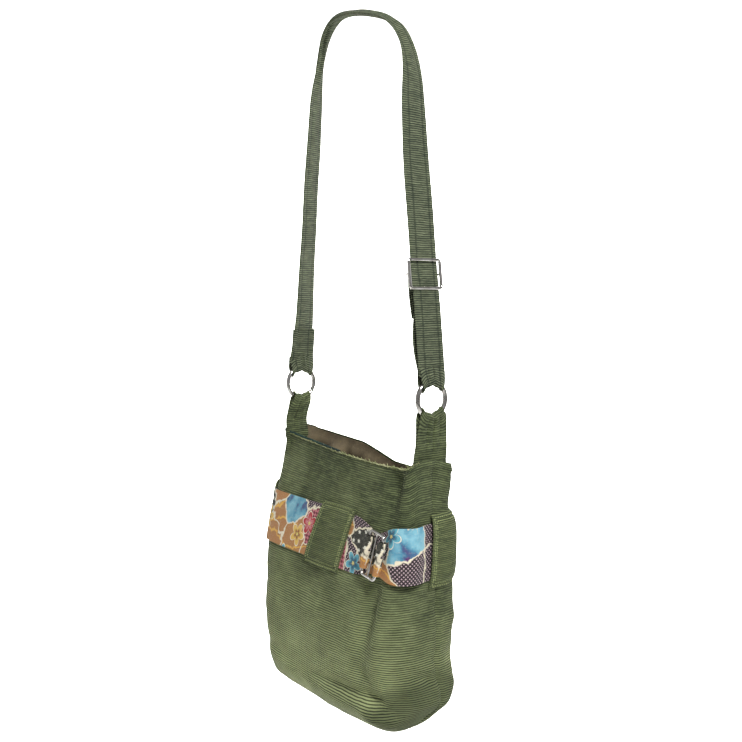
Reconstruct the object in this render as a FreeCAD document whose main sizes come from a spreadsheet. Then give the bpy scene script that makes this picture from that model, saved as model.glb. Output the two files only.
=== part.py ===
"""Soft bucket bag on a long shoulder strap, as a parametric FreeCAD document.

Millimetres, +Z up.  The origin is the point under the top of the strap where a shoulder carries it.
The bag's front faces -Y, and the strap's length adjuster is on the +X side.
"""
import FreeCAD, Part
import math
import os

import Sketcher

V = FreeCAD.Vector

# The driving dimensions.  A "drop" is how far something lies below its own reference height.
SIZES = {
    # Shoulder strap
    "strap_width": 38.0,
    "strap_thick": 2.6,
    "arch_radius": 90.0,        # underside of the strap over the shoulder
    "ply_gap": 0.2,
    "ply_foot": 0.9,            # a second ply starts this far up the branch, clear of the loop
    "folded_end_length": 42.0,
    # Rings, and the fabric looped round them
    "ring_span": 272.0,         # from ring centre to ring centre
    "ring_drop": 466.0,         # from the shoulder down to the ring centres
    "ring_radius": 21.0,        # to the middle of the wire
    "ring_wire": 3.0,           # radius of the wire
    "wire_gap": 0.4,
    "loop_width": 32.0,
    "loop_ply": 2.6,
    "loop_reach": 32.0,         # from a ring's centre to the far end of a loop round it
    "neck_height": 6.0,
    # Strap adjuster
    "slider_height": 113.0,     # its centre, along the strap from the loop's end
    "slider_width": 50.0,
    "slider_length": 36.0,
    "slider_rail": 3.2,
    "slider_thick": 3.0,
    "slide_gap": 0.3,
    "bar_radius": 1.5,
    "bar_gap": 0.1,
    "wrap_thick": 1.6,
    "tail_length": 50.0,
    "tail_thick": 3.0,
    "tail_gap": 0.5,
    # Tabs that hang the bag on its rings
    "tab_width": 48.0,
    "tab_thick": 3.0,
    "tab_turn": 30.0,           # below the ring centre, where the tab widens
    "tab_foot": 104.0,          # below the ring centre, where the sewn end of the tab stops
    # Fabric of the bag
    "panel_thick": 1.8,
    "lining_inset": 6.4,
    "lining_thick": 1.0,
    # Belt round the bag, and the loops it runs through
    "belt_top": 144.0,          # below the ring centres
    "belt_foot": 210.0,
    "belt_inner": 0.4,          # how far out of the bag's face the belt starts and ends
    "belt_outer": 2.8,
    "tunnel_outer": 3.2,
    "beltloop_outer": 5.0,
    "beltloop_top": 137.0,
    "beltloop_foot": 217.0,
    "front_loop_x": 10.0,
    "front_loop_width": 70.0,
    "side_loop_y": 14.0,
    "side_loop_width": 46.0,
    # Belt buckle: a small three-bar slider
    "buckle_x": 104.0,
    "buckle_drop": 181.0,
    "buckle_width": 28.0,
    "buckle_height": 58.0,
    "buckle_rail": 3.0,
    "buckle_fold_thick": 1.8,
    "buckle_fold_height": 48.0,
}

# Level sections of the bag from its rim down: drop below the ring centres, width, depth and corner radius.
SECTIONS = {
    "rim": (68.0, 279.0, 62.0, 6.0),
    "girdle": (135.0, 282.0, 84.0, 17.0),
    "belly": (222.0, 284.0, 114.0, 26.0),
    "flank": (300.0, 284.0, 120.0, 32.0),
    "base": (362.0, 280.0, 114.0, 36.0),
    "turn": (388.0, 262.0, 92.0, 36.0),
    "foot": (400.0, 226.0, 56.0, 24.0),
}
SECTION_SIZES = ("drop", "width", "depth", "corner")

doc = FreeCAD.newDocument("shoulder_bag")

# A flat frame's outer and inner corner radius and its edge rounding, as shares of its rail width.
OUTER_CORNER, INNER_CORNER, EDGE_ROUNDING = 1.5, 0.5, 0.25


# ---------------------------------------------------------------- the sheet and small helpers

def make_sheet():
    """Put every driving dimension in a cell with its own alias."""
    sheet = doc.addObject("Spreadsheet::Sheet", "sizes")
    cells = dict(SIZES)
    for name, values in SECTIONS.items():
        cells.update({f"{name}_{key}": value for key, value in zip(SECTION_SIZES, values)})
    for row, (alias, value) in enumerate(cells.items(), start=1):
        sheet.set(f"A{row}", alias)
        sheet.set(f"B{row}", str(value))
        sheet.setAlias(f"B{row}", alias)
    doc.recompute()
    return sheet


sheet = make_sheet()


def size(alias):
    """The value of one cell, for first guesses and for angles."""
    return float(getattr(sheet, alias))


def bind(item, **expressions):
    """Bind properties to expressions; x, y, z and angle are short for parts of the placement."""
    paths = {"x": "Placement.Base.x", "y": "Placement.Base.y", "z": "Placement.Base.z",
             "angle": "Placement.Rotation.Angle"}
    for name, expression in expressions.items():
        item.setExpression(paths.get(name, name), expression)
    return item


def place(item, axis=V(0, 1, 0), **expressions):
    """Set the turning axis, then bind the position and the angle."""
    item.Placement.Rotation = FreeCAD.Rotation(axis, 1)
    return bind(item, **expressions)


def box(name, across, deep, high):
    """A box from pairs of expressions for its lowest and highest x, y and z."""
    item = doc.addObject("Part::Box", name)
    return bind(item, Length=f"({across[1]}) - ({across[0]})", Width=f"({deep[1]}) - ({deep[0]})",
                Height=f"({high[1]}) - ({high[0]})", x=across[0], y=deep[0], z=high[0])


def cut(name, base, tool):
    item = doc.addObject("Part::Cut", name)
    item.Base = base
    item.Tool = tool
    return item


def common(name, *shapes):
    item = doc.addObject("Part::MultiCommon", name)
    item.Shapes = list(shapes)
    return item


def fuse(name, *shapes):
    item = doc.addObject("Part::MultiFuse", name)
    item.Shapes = list(shapes)
    return item


def half(name):
    """Expressions for the two sides of something centred on zero."""
    return (f"-sizes.{name} / 2", f"sizes.{name} / 2")


def plane_of(body, role):
    """One of a body's own origin planes."""
    return next(item for item in body.Origin.OriginFeatures if item.Role == role)


def sketch_on(body, role, name):
    sketch = body.newObject("Sketcher::SketchObject", name)
    sketch.AttachmentSupport = (plane_of(body, role), "")
    sketch.MapMode = "FlatFace"
    return sketch


def rounded_rectangle(sketch, width, depth, corner, guess):
    """A centred rounded rectangle bound to three expressions; guess holds its first sizes."""
    half_width, half_depth, radius = guess[0] / 2, guess[1] / 2, guess[2]
    inner_x, inner_y = half_width - radius, half_depth - radius
    quarter = math.pi / 2
    corners = ((1, 1), (-1, 1), (-1, -1), (1, -1))
    centres = [V(across * inner_x, deep * inner_y, 0) for across, deep in corners]
    for step, centre in enumerate(centres):
        circle = Part.Circle(centre, V(0, 0, 1), radius)
        sketch.addGeometry(Part.ArcOfCircle(circle, step * quarter, (step + 1) * quarter), False)
    outwards = [V(0, radius, 0), V(-radius, 0, 0), V(0, -radius, 0), V(radius, 0, 0)]
    for centre, following, out in zip(centres, centres[1:] + centres[:1], outwards):
        sketch.addGeometry(Part.LineSegment(centre + out, following + out), False)
    for arc in range(4):
        sketch.addConstraint(Sketcher.Constraint("Tangent", arc, 2, 4 + arc, 1))
        sketch.addConstraint(Sketcher.Constraint("Tangent", 4 + arc, 2, (arc + 1) % 4, 1))
    for arc in (1, 2, 3):
        sketch.addConstraint(Sketcher.Constraint("Equal", 0, arc))
    for line, way in ((4, "Horizontal"), (5, "Vertical"), (6, "Horizontal"), (7, "Vertical")):
        sketch.addConstraint(Sketcher.Constraint(way, line))
    sketch.addConstraint(Sketcher.Constraint("Symmetric", 0, 3, 2, 3, -1, 1))
    for kind, first, second, value, expression in (
            ("DistanceX", 1, 0, 2 * inner_x, f"({width}) - 2 * ({corner})"),
            ("DistanceY", 3, 0, 2 * inner_y, f"({depth}) - 2 * ({corner})")):
        index = sketch.addConstraint(Sketcher.Constraint(kind, first, 3, second, 3, value))
        sketch.setExpression(f"Constraints[{index}]", expression)
    index = sketch.addConstraint(Sketcher.Constraint("Radius", 0, radius))
    sketch.setExpression(f"Constraints[{index}]", corner)


# ---------------------------------------------------------------- the bag's lofted form

def section(name, growth, lift):
    """One level section of the bag, grown by an expression and lifted by another."""
    sketch = doc.addObject("Sketcher::SketchObject", f"{name}_section")
    width, depth = (f"sizes.{name}_{key} + 2 * ({growth})" for key in ("width", "depth"))
    corner = f"max(sizes.{name}_corner + ({growth}); 1)"
    rounded_rectangle(sketch, width, depth, corner, SECTIONS[name][1:])
    return bind(sketch, z=f"-sizes.ring_drop - sizes.{name}_drop + ({lift})")


def loft(name, growth, levels=tuple(SECTIONS), lift="0"):
    """The bag's solid form, grown outwards by an expression; lift raises the lowest section."""
    solid = doc.addObject("Part::Loft", name)
    lowest = levels[-1]
    solid.Sections = [section(level, growth, lift if level == lowest else "0") for level in levels]
    solid.Solid = True
    solid.Ruled = True
    return solid


def half_space(name, front):
    """Everything in front of the side seams, or everything behind them."""
    deep = ("-sizes.belly_depth", "0") if front else ("0", "sizes.belly_depth")
    return box(name, ("-sizes.belly_width", "sizes.belly_width"), deep, ("-2 * sizes.ring_drop", "0"))


def bag_fabric():
    """Front and back panels and their linings: two shells, each parted at the side seams."""
    outer_shell = cut("outer_shell", loft("outer_form", "0"),
                      loft("outer_hollow", "-sizes.panel_thick", lift="sizes.panel_thick"))
    floor = "sizes.panel_thick + sizes.ply_gap"
    lining_shell = cut("lining_shell", loft("lining_form", "-sizes.lining_inset", lift=floor),
                       loft("lining_hollow", "-sizes.lining_inset - sizes.lining_thick",
                            lift=f"{floor} + sizes.lining_thick"))
    return [
        common("front_panel", outer_shell, half_space("front_half", True)),
        common("back_panel", outer_shell, half_space("back_half", False)),
        common("lining_front", lining_shell, half_space("lining_front_half", True)),
        common("lining_back", lining_shell, half_space("lining_back_half", False)),
    ]


# ---------------------------------------------------------------- the belt and its loops

BELT_LEVELS = ("girdle", "belly")
BELT_HEIGHT = ("-sizes.ring_drop - sizes.belt_foot", "-sizes.ring_drop - sizes.belt_top")
LOOP_HEIGHT = ("-sizes.ring_drop - sizes.beltloop_foot", "-sizes.ring_drop - sizes.beltloop_top")
WIDE = ("-sizes.belly_width", "sizes.belly_width")


def belt_band():
    """The printed belt, lying just off the bag all the way round."""
    sleeve = cut("belt_sleeve", loft("belt_outside", "sizes.belt_outer", BELT_LEVELS),
                 loft("belt_inside", "sizes.belt_inner", BELT_LEVELS))
    return common("belt_band", sleeve, box("belt_height", WIDE, WIDE, BELT_HEIGHT))


def belt_loops():
    """Four fabric loops sewn to the bag above and below the belt, each with a tunnel for it."""
    sleeve = cut("beltloop_sleeve", loft("beltloop_outside", "sizes.beltloop_outer", BELT_LEVELS),
                 loft("beltloop_inside", "0", BELT_LEVELS))
    tunnel = common("belt_tunnel", loft("tunnel_form", "sizes.tunnel_outer", BELT_LEVELS),
                    box("tunnel_height", WIDE, WIDE, BELT_HEIGHT))
    hollow_sleeve = cut("hollow_sleeve", sleeve, tunnel)
    front_x = tuple(f"sizes.front_loop_x {side} sizes.front_loop_width / 2" for side in "-+")
    right_y = tuple(f"sizes.side_loop_y {side} sizes.side_loop_width / 2" for side in "-+")
    left_y = tuple(f"-sizes.side_loop_y {side} sizes.side_loop_width / 2" for side in "-+")
    before, behind = ("-sizes.belly_width", "0"), ("0", "sizes.belly_width")
    footprints = {
        "belt_loop_front": (front_x, before),
        "belt_loop_back": (front_x, behind),
        "belt_loop_right": (behind, right_y),
        "belt_loop_left": (before, left_y),
    }
    return [common(name, hollow_sleeve, box(f"{name}_size", across, deep, LOOP_HEIGHT))
            for name, (across, deep) in footprints.items()]


def front_slope():
    """The turn about X that lays something on the front face, whose foot leans out to the front."""
    run = "(sizes.belly_depth - sizes.girdle_depth) / 2"
    return f"-atan(({run}) / (sizes.belly_drop - sizes.girdle_drop))"


def buckle_place(body):
    """Stand a body on the front face at the buckle's centre, its local -Y pointing out of the face."""
    along = "(sizes.buckle_drop - sizes.girdle_drop) / (sizes.belly_drop - sizes.girdle_drop)"
    face = f"sizes.girdle_depth / 2 + (sizes.belly_depth - sizes.girdle_depth) / 2 * {along}"
    return place(body, axis=V(1, 0, 0), x="sizes.buckle_x", y=f"-({face})",
                 z="-sizes.ring_drop - sizes.buckle_drop", angle=front_slope())


BUCKLE_STAND = ("sizes.belt_outer + 2 * sizes.slide_gap + sizes.bar_radius + sizes.wire_gap"
                " + sizes.buckle_fold_thick")


def framed_pad(name, width, height, rail, thick, guess):
    """A flat frame with rounded corners, padded from an outline and a window."""
    body = doc.addObject("PartDesign::Body", name)
    outline = sketch_on(body, "XZ_Plane", f"{name}_outline")
    rounded_rectangle(outline, width, height, f"({rail}) * {OUTER_CORNER}",
                      (guess[0], guess[1], guess[2] * OUTER_CORNER))
    pad = body.newObject("PartDesign::Pad", f"{name}_pad")
    pad.Profile = outline
    pad.Midplane = True
    pad.setExpression("Length", thick)
    doc.recompute()
    window = sketch_on(body, "XZ_Plane", f"{name}_window")
    rounded_rectangle(window, f"({width}) - 2 * ({rail})", f"({height}) - 2 * ({rail})",
                      f"({rail}) * {INNER_CORNER}",
                      (guess[0] - 2 * guess[2], guess[1] - 2 * guess[2], guess[2] * INNER_CORNER))
    pocket = body.newObject("PartDesign::Pocket", f"{name}_opening")
    pocket.Profile = window
    pocket.Midplane = True
    pocket.Type = "ThroughAll"
    doc.recompute()
    edges = body.newObject("PartDesign::Fillet", f"{name}_soft_edges")
    faces = [f"Face{number}" for number, face in enumerate(pocket.Shape.Faces, start=1)
             if face.Surface.TypeId == "Part::GeomPlane" and abs(face.normalAt(0, 0).y) > 0.9]
    edges.Base = (pocket, faces)
    edges.setExpression("Radius", f"({rail}) * {EDGE_ROUNDING}")
    doc.recompute()
    return body


def belt_buckle():
    """The buckle's frame, its centre bar and the two folds of belt that pass round its side bars."""
    stand = f"-({BUCKLE_STAND})"
    guess = (size("buckle_width"), size("buckle_height"), size("buckle_rail"))
    frame = framed_pad("belt_slider_frame", "sizes.buckle_width", "sizes.buckle_height",
                       "sizes.buckle_rail", "2 * sizes.bar_radius", guess)
    for item in frame.Group:
        if item.TypeId == "Sketcher::SketchObject":
            item.setExpression("AttachmentOffset.Base.z", BUCKLE_STAND)
    buckle_place(frame)
    side = "(sizes.buckle_width - sizes.buckle_rail) / 2"
    between_rails = "sizes.buckle_height - 2 * sizes.buckle_rail"
    bar = rod("belt_slider_bar", "sizes.bar_radius", between_rails, "0", stand)
    sewn = sleeve_on_bar("belt_sewn_end", side, stand)
    passing = sleeve_on_bar("belt_passing_fold", f"-{side}", stand)
    return [frame, bar, sewn, passing]


def rod(name, radius, length, x, y):
    """An upright rod in the buckle's own frame."""
    body = doc.addObject("PartDesign::Body", name)
    disc = sketch_on(body, "XY_Plane", f"{name}_disc")
    circle_at(disc, radius, x, y)
    pad = body.newObject("PartDesign::Pad", f"{name}_pad")
    pad.Profile = disc
    pad.Midplane = True
    pad.setExpression("Length", length)
    return buckle_place(body)


def circle_at(sketch, radius, x, y):
    """One circle bound to expressions for its radius and centre."""
    index = sketch.addGeometry(Part.Circle(V(0, 0, 0), V(0, 0, 1), 1.0), False)
    for kind, expression in (("DistanceX", x), ("DistanceY", y)):
        entry = sketch.addConstraint(Sketcher.Constraint(kind, -1, 1, index, 3, 0.1))
        sketch.setExpression(f"Constraints[{entry}]", expression)
    entry = sketch.addConstraint(Sketcher.Constraint("Radius", index, 1.0))
    sketch.setExpression(f"Constraints[{entry}]", radius)


def sleeve_on_bar(name, x, y):
    """A short fabric sleeve round one upright bar of the buckle."""
    hollow = "sizes.bar_radius + sizes.wire_gap"
    body = doc.addObject("PartDesign::Body", name)
    ring = sketch_on(body, "XY_Plane", f"{name}_ring")
    circle_at(ring, f"{hollow} + sizes.buckle_fold_thick", x, y)
    circle_at(ring, hollow, x, y)
    pad = body.newObject("PartDesign::Pad", f"{name}_pad")
    pad.Profile = ring
    pad.Midplane = True
    pad.setExpression("Length", "sizes.buckle_fold_height")
    return buckle_place(body)


# ---------------------------------------------------------------- rings and what hangs on them

def ring_centre(sign):
    return {"x": f"{sign} * sizes.ring_span / 2", "z": "-sizes.ring_drop"}


def torus(name, wire, sign):
    """A torus round the ring's wire line; its axis lies along X."""
    item = doc.addObject("Part::Torus", name)
    item.Placement.Rotation = FreeCAD.Rotation(V(0, 1, 0), 90)
    return bind(item, Radius1="sizes.ring_radius", Radius2=wire, **ring_centre(sign))


def ring_box(name, sign, across, deep, high):
    """A box given from a ring's centre."""
    middle = f"{sign} * sizes.ring_span / 2"
    return box(name, tuple(f"{middle} + ({side})" for side in across), deep,
               tuple(f"-sizes.ring_drop + ({level})" for level in high))


WRAP = "sizes.ring_wire + sizes.wire_gap"
WRAP_OUT = f"{WRAP} + sizes.loop_ply"
TURN_START = "sizes.ring_radius * 0.5"          # where a loop's turn round the wire starts
PLY_START = "sizes.ring_radius * 0.75"          # where its flat plies meet that turn


def loop_round_ring(name, sign, up, pieces=()):
    """Fabric looped round a ring's wire, above (up = 1) or below (up = -1) the ring's centre."""
    def levels(near, far):
        pair = (f"{up} * ({near})", f"{up} * ({far})")
        return pair if up > 0 else pair[::-1]

    half_loop = half("loop_width")
    hose = cut(f"{name}_hose", torus(f"{name}_outside", WRAP_OUT, sign),
               torus(f"{name}_inside", WRAP, sign))
    sector = ring_box(f"{name}_sector", sign, (f"-({WRAP_OUT})", WRAP_OUT), half_loop,
                      levels(TURN_START, "sizes.loop_reach"))
    wrap = common(f"{name}_wrap", hose, sector)
    neck = "sizes.loop_reach - sizes.neck_height"
    plies = [ring_box(f"{name}_{side}_ply", sign, across, half_loop, levels(PLY_START, neck))
             for side, across in (("outer", (WRAP, WRAP_OUT)), ("inner", (f"-({WRAP_OUT})", f"-({WRAP})")))]
    seam = ring_box(f"{name}_neck", sign, (f"-({WRAP_OUT})", WRAP_OUT), half_loop,
                    levels(neck, "sizes.loop_reach"))
    whole = fuse(f"{name}_fused", wrap, *plies, seam, *pieces)
    return cut(name, whole, torus(f"{name}_clearance", WRAP, sign))


def tab(name, sign):
    """A tab that hangs the bag on its ring; its foot is sewn between panel and lining."""
    plate = ring_box(f"{name}_plate", sign, half("tab_thick"), half("tab_width"),
                     ("-sizes.tab_foot", "-sizes.tab_turn"))
    return loop_round_ring(name, sign, -1, (plate,))


def ring(name, sign):
    return torus(name, "sizes.ring_wire", sign)


# ---------------------------------------------------------------- the shoulder strap

FALL = "(sizes.ring_drop - sizes.loop_reach - sizes.arch_radius)"
LEAN = (f"acos((sizes.arch_radius + sizes.strap_thick / 2) / sqrt((sizes.ring_span / 2) ^ 2 + {FALL} ^ 2))"
        f" - atan({FALL} / (sizes.ring_span / 2))")


def branch_place(body, sign):
    """Stand a body on the loop's end, its local +Z running up the strap's straight branch."""
    return place(body, x=f"{sign} * sizes.ring_span / 2", z="-sizes.ring_drop + sizes.loop_reach",
                 angle=f"-({sign}) * ({LEAN})")


def strap_main():
    """The long strap: an arch over the shoulder with a straight branch down to each ring's loop."""
    radius, thick = size("arch_radius"), size("strap_thick")
    end_x, end_y = size("ring_span") / 2, size("loop_reach") - size("ring_drop")
    body = doc.addObject("PartDesign::Body", "strap_main")
    sketch = sketch_on(body, "XZ_Plane", "strap_side_view")
    level = 0.13                                   # first guess for the arch's ends, in radians
    for reach in (radius, radius + thick):
        circle = Part.Circle(V(0, -radius, 0), V(0, 0, 1), reach)
        sketch.addGeometry(Part.ArcOfCircle(circle, level, math.pi - level), False)
    for sign in (1, -1):
        for reach, offset in ((radius, -thick / 2), (radius + thick, thick / 2)):
            sketch.addGeometry(Part.LineSegment(V(sign * reach, -radius + reach * level, 0),
                                                V(sign * (end_x + offset), end_y, 0)), False)
        sketch.addGeometry(Part.LineSegment(V(sign * (end_x - thick / 2), end_y, 0),
                                            V(sign * (end_x + thick / 2), end_y, 0)), False)
    sketch.addGeometry([Part.Point(V(sign * end_x, end_y, 0)) for sign in (1, -1)], True)
    rule = Sketcher.Constraint
    sketch.addConstraint([rule("Coincident", 0, 3, 1, 3), rule("PointOnObject", 0, 3, -2)])
    for side, (inner, outer, cap, anchor) in enumerate(((2, 3, 4, 8), (5, 6, 7, 9)), start=1):
        sketch.addConstraint([
            rule("Tangent", 0, side, inner, 1), rule("Tangent", 1, side, outer, 1),
            rule("Coincident", inner, 2, cap, 1), rule("Coincident", outer, 2, cap, 2),
            rule("Perpendicular", inner, cap), rule("Symmetric", inner, 2, outer, 2, anchor, 1)])
    bound = [
        (rule("DistanceY", 0, 3, -1, 1, radius), "sizes.arch_radius"),
        (rule("Radius", 0, radius), "sizes.arch_radius"),
        (rule("Radius", 1, radius + thick), "sizes.arch_radius + sizes.strap_thick"),
        (rule("DistanceX", -1, 1, 8, 1, end_x), "sizes.ring_span / 2"),
        (rule("DistanceX", 9, 1, -1, 1, end_x), "sizes.ring_span / 2"),
        (rule("DistanceY", 8, 1, -1, 1, -end_y), "sizes.ring_drop - sizes.loop_reach"),
        (rule("DistanceY", 9, 1, -1, 1, -end_y), "sizes.ring_drop - sizes.loop_reach"),
    ]
    for constraint, expression in bound:
        index = sketch.addConstraint(constraint)
        sketch.setExpression(f"Constraints[{index}]", expression)
    pad = body.newObject("PartDesign::Pad", "strap_width_pad")
    pad.Profile = sketch
    pad.Midplane = True
    pad.setExpression("Length", "sizes.strap_width")
    return body


def branch_ply(name, sign, across, length):
    """A flat ply of strap lying along one branch, from the loop's end upwards."""
    body = doc.addObject("PartDesign::Body", name)
    sketch = sketch_on(body, "XZ_Plane", f"{name}_side_view")
    rectangle(sketch, across, ("sizes.ply_foot", length))
    pad = body.newObject("PartDesign::Pad", f"{name}_pad")
    pad.Profile = sketch
    pad.Midplane = True
    pad.setExpression("Length", "sizes.strap_width")
    return branch_place(body, sign)


def rectangle(sketch, across, high):
    """A rectangle bound to expressions for its four sides."""
    corners = [V(0, 0, 0), V(1, 0, 0), V(1, 1, 0), V(0, 1, 0)]
    first = sketch.GeometryCount
    for start, end in zip(corners, corners[1:] + corners[:1]):
        sketch.addGeometry(Part.LineSegment(start, end), False)
    rule = Sketcher.Constraint
    for step in range(4):
        sketch.addConstraint(rule("Coincident", first + step, 2, first + (step + 1) % 4, 1))
        sketch.addConstraint(rule("Horizontal" if step % 2 == 0 else "Vertical", first + step))
    for kind, line, expression in (("DistanceX", 0, across[0]), ("DistanceY", 0, high[0]),
                                   ("DistanceX", 2, across[1]), ("DistanceY", 2, high[1])):
        index = sketch.addConstraint(rule(kind, -1, 1, first + line, 1, 0.5))
        sketch.setExpression(f"Constraints[{index}]", expression)


def inner_ply(sign):
    """Where a second ply lies along a branch: inside the main one."""
    near = "sizes.strap_thick / 2 + sizes.ply_gap"
    far = f"{near} + sizes.strap_thick"
    return (f"-({far})", f"-({near})") if sign > 0 else (near, far)


def strap_plies():
    """The ply from the adjuster down to the right ring, and the left end folded up and sewn down."""
    below = "sizes.slider_height - sizes.tail_length - sizes.tail_gap"
    return [branch_ply("strap_inner_ply", 1, inner_ply(1), below),
            branch_ply("strap_folded_end", -1, inner_ply(-1), "sizes.folded_end_length")]


# ---------------------------------------------------------------- the strap's adjuster

BAR_HOLE = "sizes.bar_radius + sizes.bar_gap"
BAR_BACK = f"-(sizes.strap_thick / 2 + sizes.slide_gap + {BAR_HOLE} + sizes.wrap_thick)"
FRAME_FACE = "sizes.strap_thick / 2 + sizes.slide_gap"


def slider_box(name, across, deep, high):
    """A box in the branch's own frame, given from the adjuster's centre."""
    body = doc.addObject("PartDesign::Body", name)
    sketch = sketch_on(body, "XZ_Plane", f"{name}_side_view")
    rectangle(sketch, across, tuple(f"sizes.slider_height + ({level})" for level in high))
    pad = body.newObject("PartDesign::Pad", f"{name}_pad")
    pad.Profile = sketch
    pad.Midplane = True
    pad.setExpression("Length", deep)
    return branch_place(body, 1)


def crossbar(name, radius, length, hole=None):
    """A round bar or a fabric sleeve across the strap, behind it, at the adjuster's centre."""
    body = doc.addObject("PartDesign::Body", name)
    disc = sketch_on(body, "XZ_Plane", f"{name}_disc")
    circle_at(disc, radius, BAR_BACK, "sizes.slider_height")
    if hole:
        circle_at(disc, hole, BAR_BACK, "sizes.slider_height")
    pad = body.newObject("PartDesign::Pad", f"{name}_pad")
    pad.Profile = disc
    pad.Midplane = True
    pad.setExpression("Length", length)
    return branch_place(body, 1)


def slider_frame():
    """The adjuster's rectangular frame, outside the strap, with a lug each side back to its bar."""
    middle = f"({FRAME_FACE} + sizes.slider_thick / 2)"
    far, near = "sizes.slider_length / 2", "sizes.slider_length / 2 - sizes.slider_rail"
    face = (FRAME_FACE, f"{FRAME_FACE} + sizes.slider_thick")
    rails = [slider_box("slider_top_rail", face, "sizes.slider_width", (near, far)),
             slider_box("slider_foot_rail", face, "sizes.slider_width", (f"-({far})", f"-({near})"))]
    lug_reach = (f"{BAR_BACK} - sizes.bar_radius", middle)
    whole = slider_box("slider_side_blank", face, "sizes.slider_width", (f"-({far})", far))
    lugs = slider_box("slider_lug_blank", lug_reach, "sizes.slider_width",
                      ("-sizes.bar_radius", "sizes.bar_radius"))
    window = slider_box("slider_window", (f"{BAR_BACK} - 2 * sizes.bar_radius", "3 * sizes.slider_thick"),
                        "sizes.slider_width - 2 * sizes.slider_rail", (f"-({far}) - 1", f"{far} + 1"))
    sides = cut("slider_sides", fuse("slider_side_blanks", whole, lugs), window)
    return fuse("strap_slider_frame", *rails, sides)


def strap_adjuster():
    """Frame, centre bar, and the strap's end sewn round that bar."""
    inside = "sizes.slider_width - 2 * sizes.slider_rail"
    bar = crossbar("strap_slider_bar", "sizes.bar_radius", inside)
    sleeve = crossbar("strap_end_sleeve", f"{BAR_HOLE} + sizes.wrap_thick", "sizes.strap_width",
                      hole=BAR_HOLE)
    tail = slider_box("strap_end_tail",
                      (f"{BAR_BACK} - sizes.tail_thick / 2", f"{BAR_BACK} + sizes.tail_thick / 2"),
                      "sizes.strap_width",
                      ("-sizes.tail_length", f"-({BAR_HOLE} + sizes.wrap_thick / 2)"))
    return [slider_frame(), bar, fuse("strap_end_loop", sleeve, tail)]


# ---------------------------------------------------------------- build, check and write

def build():
    """Every sub-part, in the order in which the bag would be laid out on a bench."""
    parts = [strap_main(), *strap_plies()]
    parts += [loop_round_ring("strap_loop_right", 1, 1), loop_round_ring("strap_loop_left", -1, 1)]
    parts += [ring("ring_right", 1), ring("ring_left", -1)]
    parts += strap_adjuster()
    parts += [*bag_fabric(), tab("tab_right", 1), tab("tab_left", -1)]
    parts += [belt_band(), *belt_loops(), *belt_buckle()]
    return parts


def check(parts):
    """Stop if any object failed or any sub-part's shape is missing or not valid."""
    for item in doc.Objects:
        bad = [word for word in item.State if word in ("Invalid", "Error")]
        if bad:
            raise RuntimeError(f"{item.Name} is {bad}")
    for part in parts:
        if part.Shape.isNull() or not part.Shape.isValid() or part.Shape.Volume <= 0:
            raise RuntimeError(f"{part.Label} has no valid shape")


def write(parts):
    os.makedirs("parts", exist_ok=True)
    for part in parts:
        part.Shape.exportStep(f"parts/{part.Label}.step")
        bounds = part.Shape.BoundBox
        print(f"{part.Label:20s} {len(part.Shape.Solids)} solid(s) {part.Shape.Volume / 1000:8.2f} cm3 "
              f"x {bounds.XMin:7.1f} {bounds.XMax:7.1f}  y {bounds.YMin:6.1f} {bounds.YMax:6.1f}  "
              f"z {bounds.ZMin:7.1f} {bounds.ZMax:7.1f}")


sub_parts = build()
doc.recompute()
check(sub_parts)
write(sub_parts)
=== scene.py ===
"""Looks of the soft bucket bag on its long shoulder strap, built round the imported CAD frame.

Metres, +Z up.  The bag's front faces -Y, its strap adjuster is on the +X side, and the origin is under
the top of the strap.  A "drop" is how far something lies below the ring centres, in millimetres.
"""

import math
import random

import bmesh
import bpy
import numpy as np
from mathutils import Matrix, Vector, noise


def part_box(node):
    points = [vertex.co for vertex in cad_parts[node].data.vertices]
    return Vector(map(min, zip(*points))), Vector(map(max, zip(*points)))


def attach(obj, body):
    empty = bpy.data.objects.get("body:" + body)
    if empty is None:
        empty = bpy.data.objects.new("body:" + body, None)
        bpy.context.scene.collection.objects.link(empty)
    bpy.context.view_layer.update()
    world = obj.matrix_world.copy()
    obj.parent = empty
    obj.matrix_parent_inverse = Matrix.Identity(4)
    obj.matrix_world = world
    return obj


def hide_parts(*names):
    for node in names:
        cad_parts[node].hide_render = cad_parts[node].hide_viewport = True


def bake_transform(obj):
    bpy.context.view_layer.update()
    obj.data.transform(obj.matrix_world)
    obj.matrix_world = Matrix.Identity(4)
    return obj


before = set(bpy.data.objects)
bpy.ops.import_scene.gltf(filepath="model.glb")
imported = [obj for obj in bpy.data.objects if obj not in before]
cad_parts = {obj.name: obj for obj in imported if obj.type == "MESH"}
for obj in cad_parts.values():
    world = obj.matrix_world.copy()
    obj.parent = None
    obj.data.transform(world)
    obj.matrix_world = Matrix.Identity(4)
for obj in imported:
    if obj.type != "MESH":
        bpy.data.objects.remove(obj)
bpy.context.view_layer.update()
chance = random.Random(11)

MM = 0.001


def middle(node):
    """The middle of a node's box."""
    low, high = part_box(node)
    return (low + high) / 2


RING = middle("ring_right")
RING_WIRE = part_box("ring_right")[1].x - RING.x
RING_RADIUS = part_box("ring_right")[1].z - RING.z - RING_WIRE
STRAP_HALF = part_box("strap_main")[1].y
STRAP_THICK = 2.6 * MM
SEAM_INSET = 8.5 * MM                  # of a sewn line from the strap's edge
RIB = 2.8 * MM                         # from one rib of the cloth to the next
CELL = 4.0 * MM                        # the mesh's usual step


def level(drop):
    """Height of a drop given in millimetres."""
    return RING.z - drop * MM


def ease(value, start, end):
    """Smooth step of an array or a number from 0 at start to 1 at end."""
    share = np.clip((np.asarray(value, float) - start) / (end - start), 0.0, 1.0)
    return share * share * (3.0 - 2.0 * share)


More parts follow.
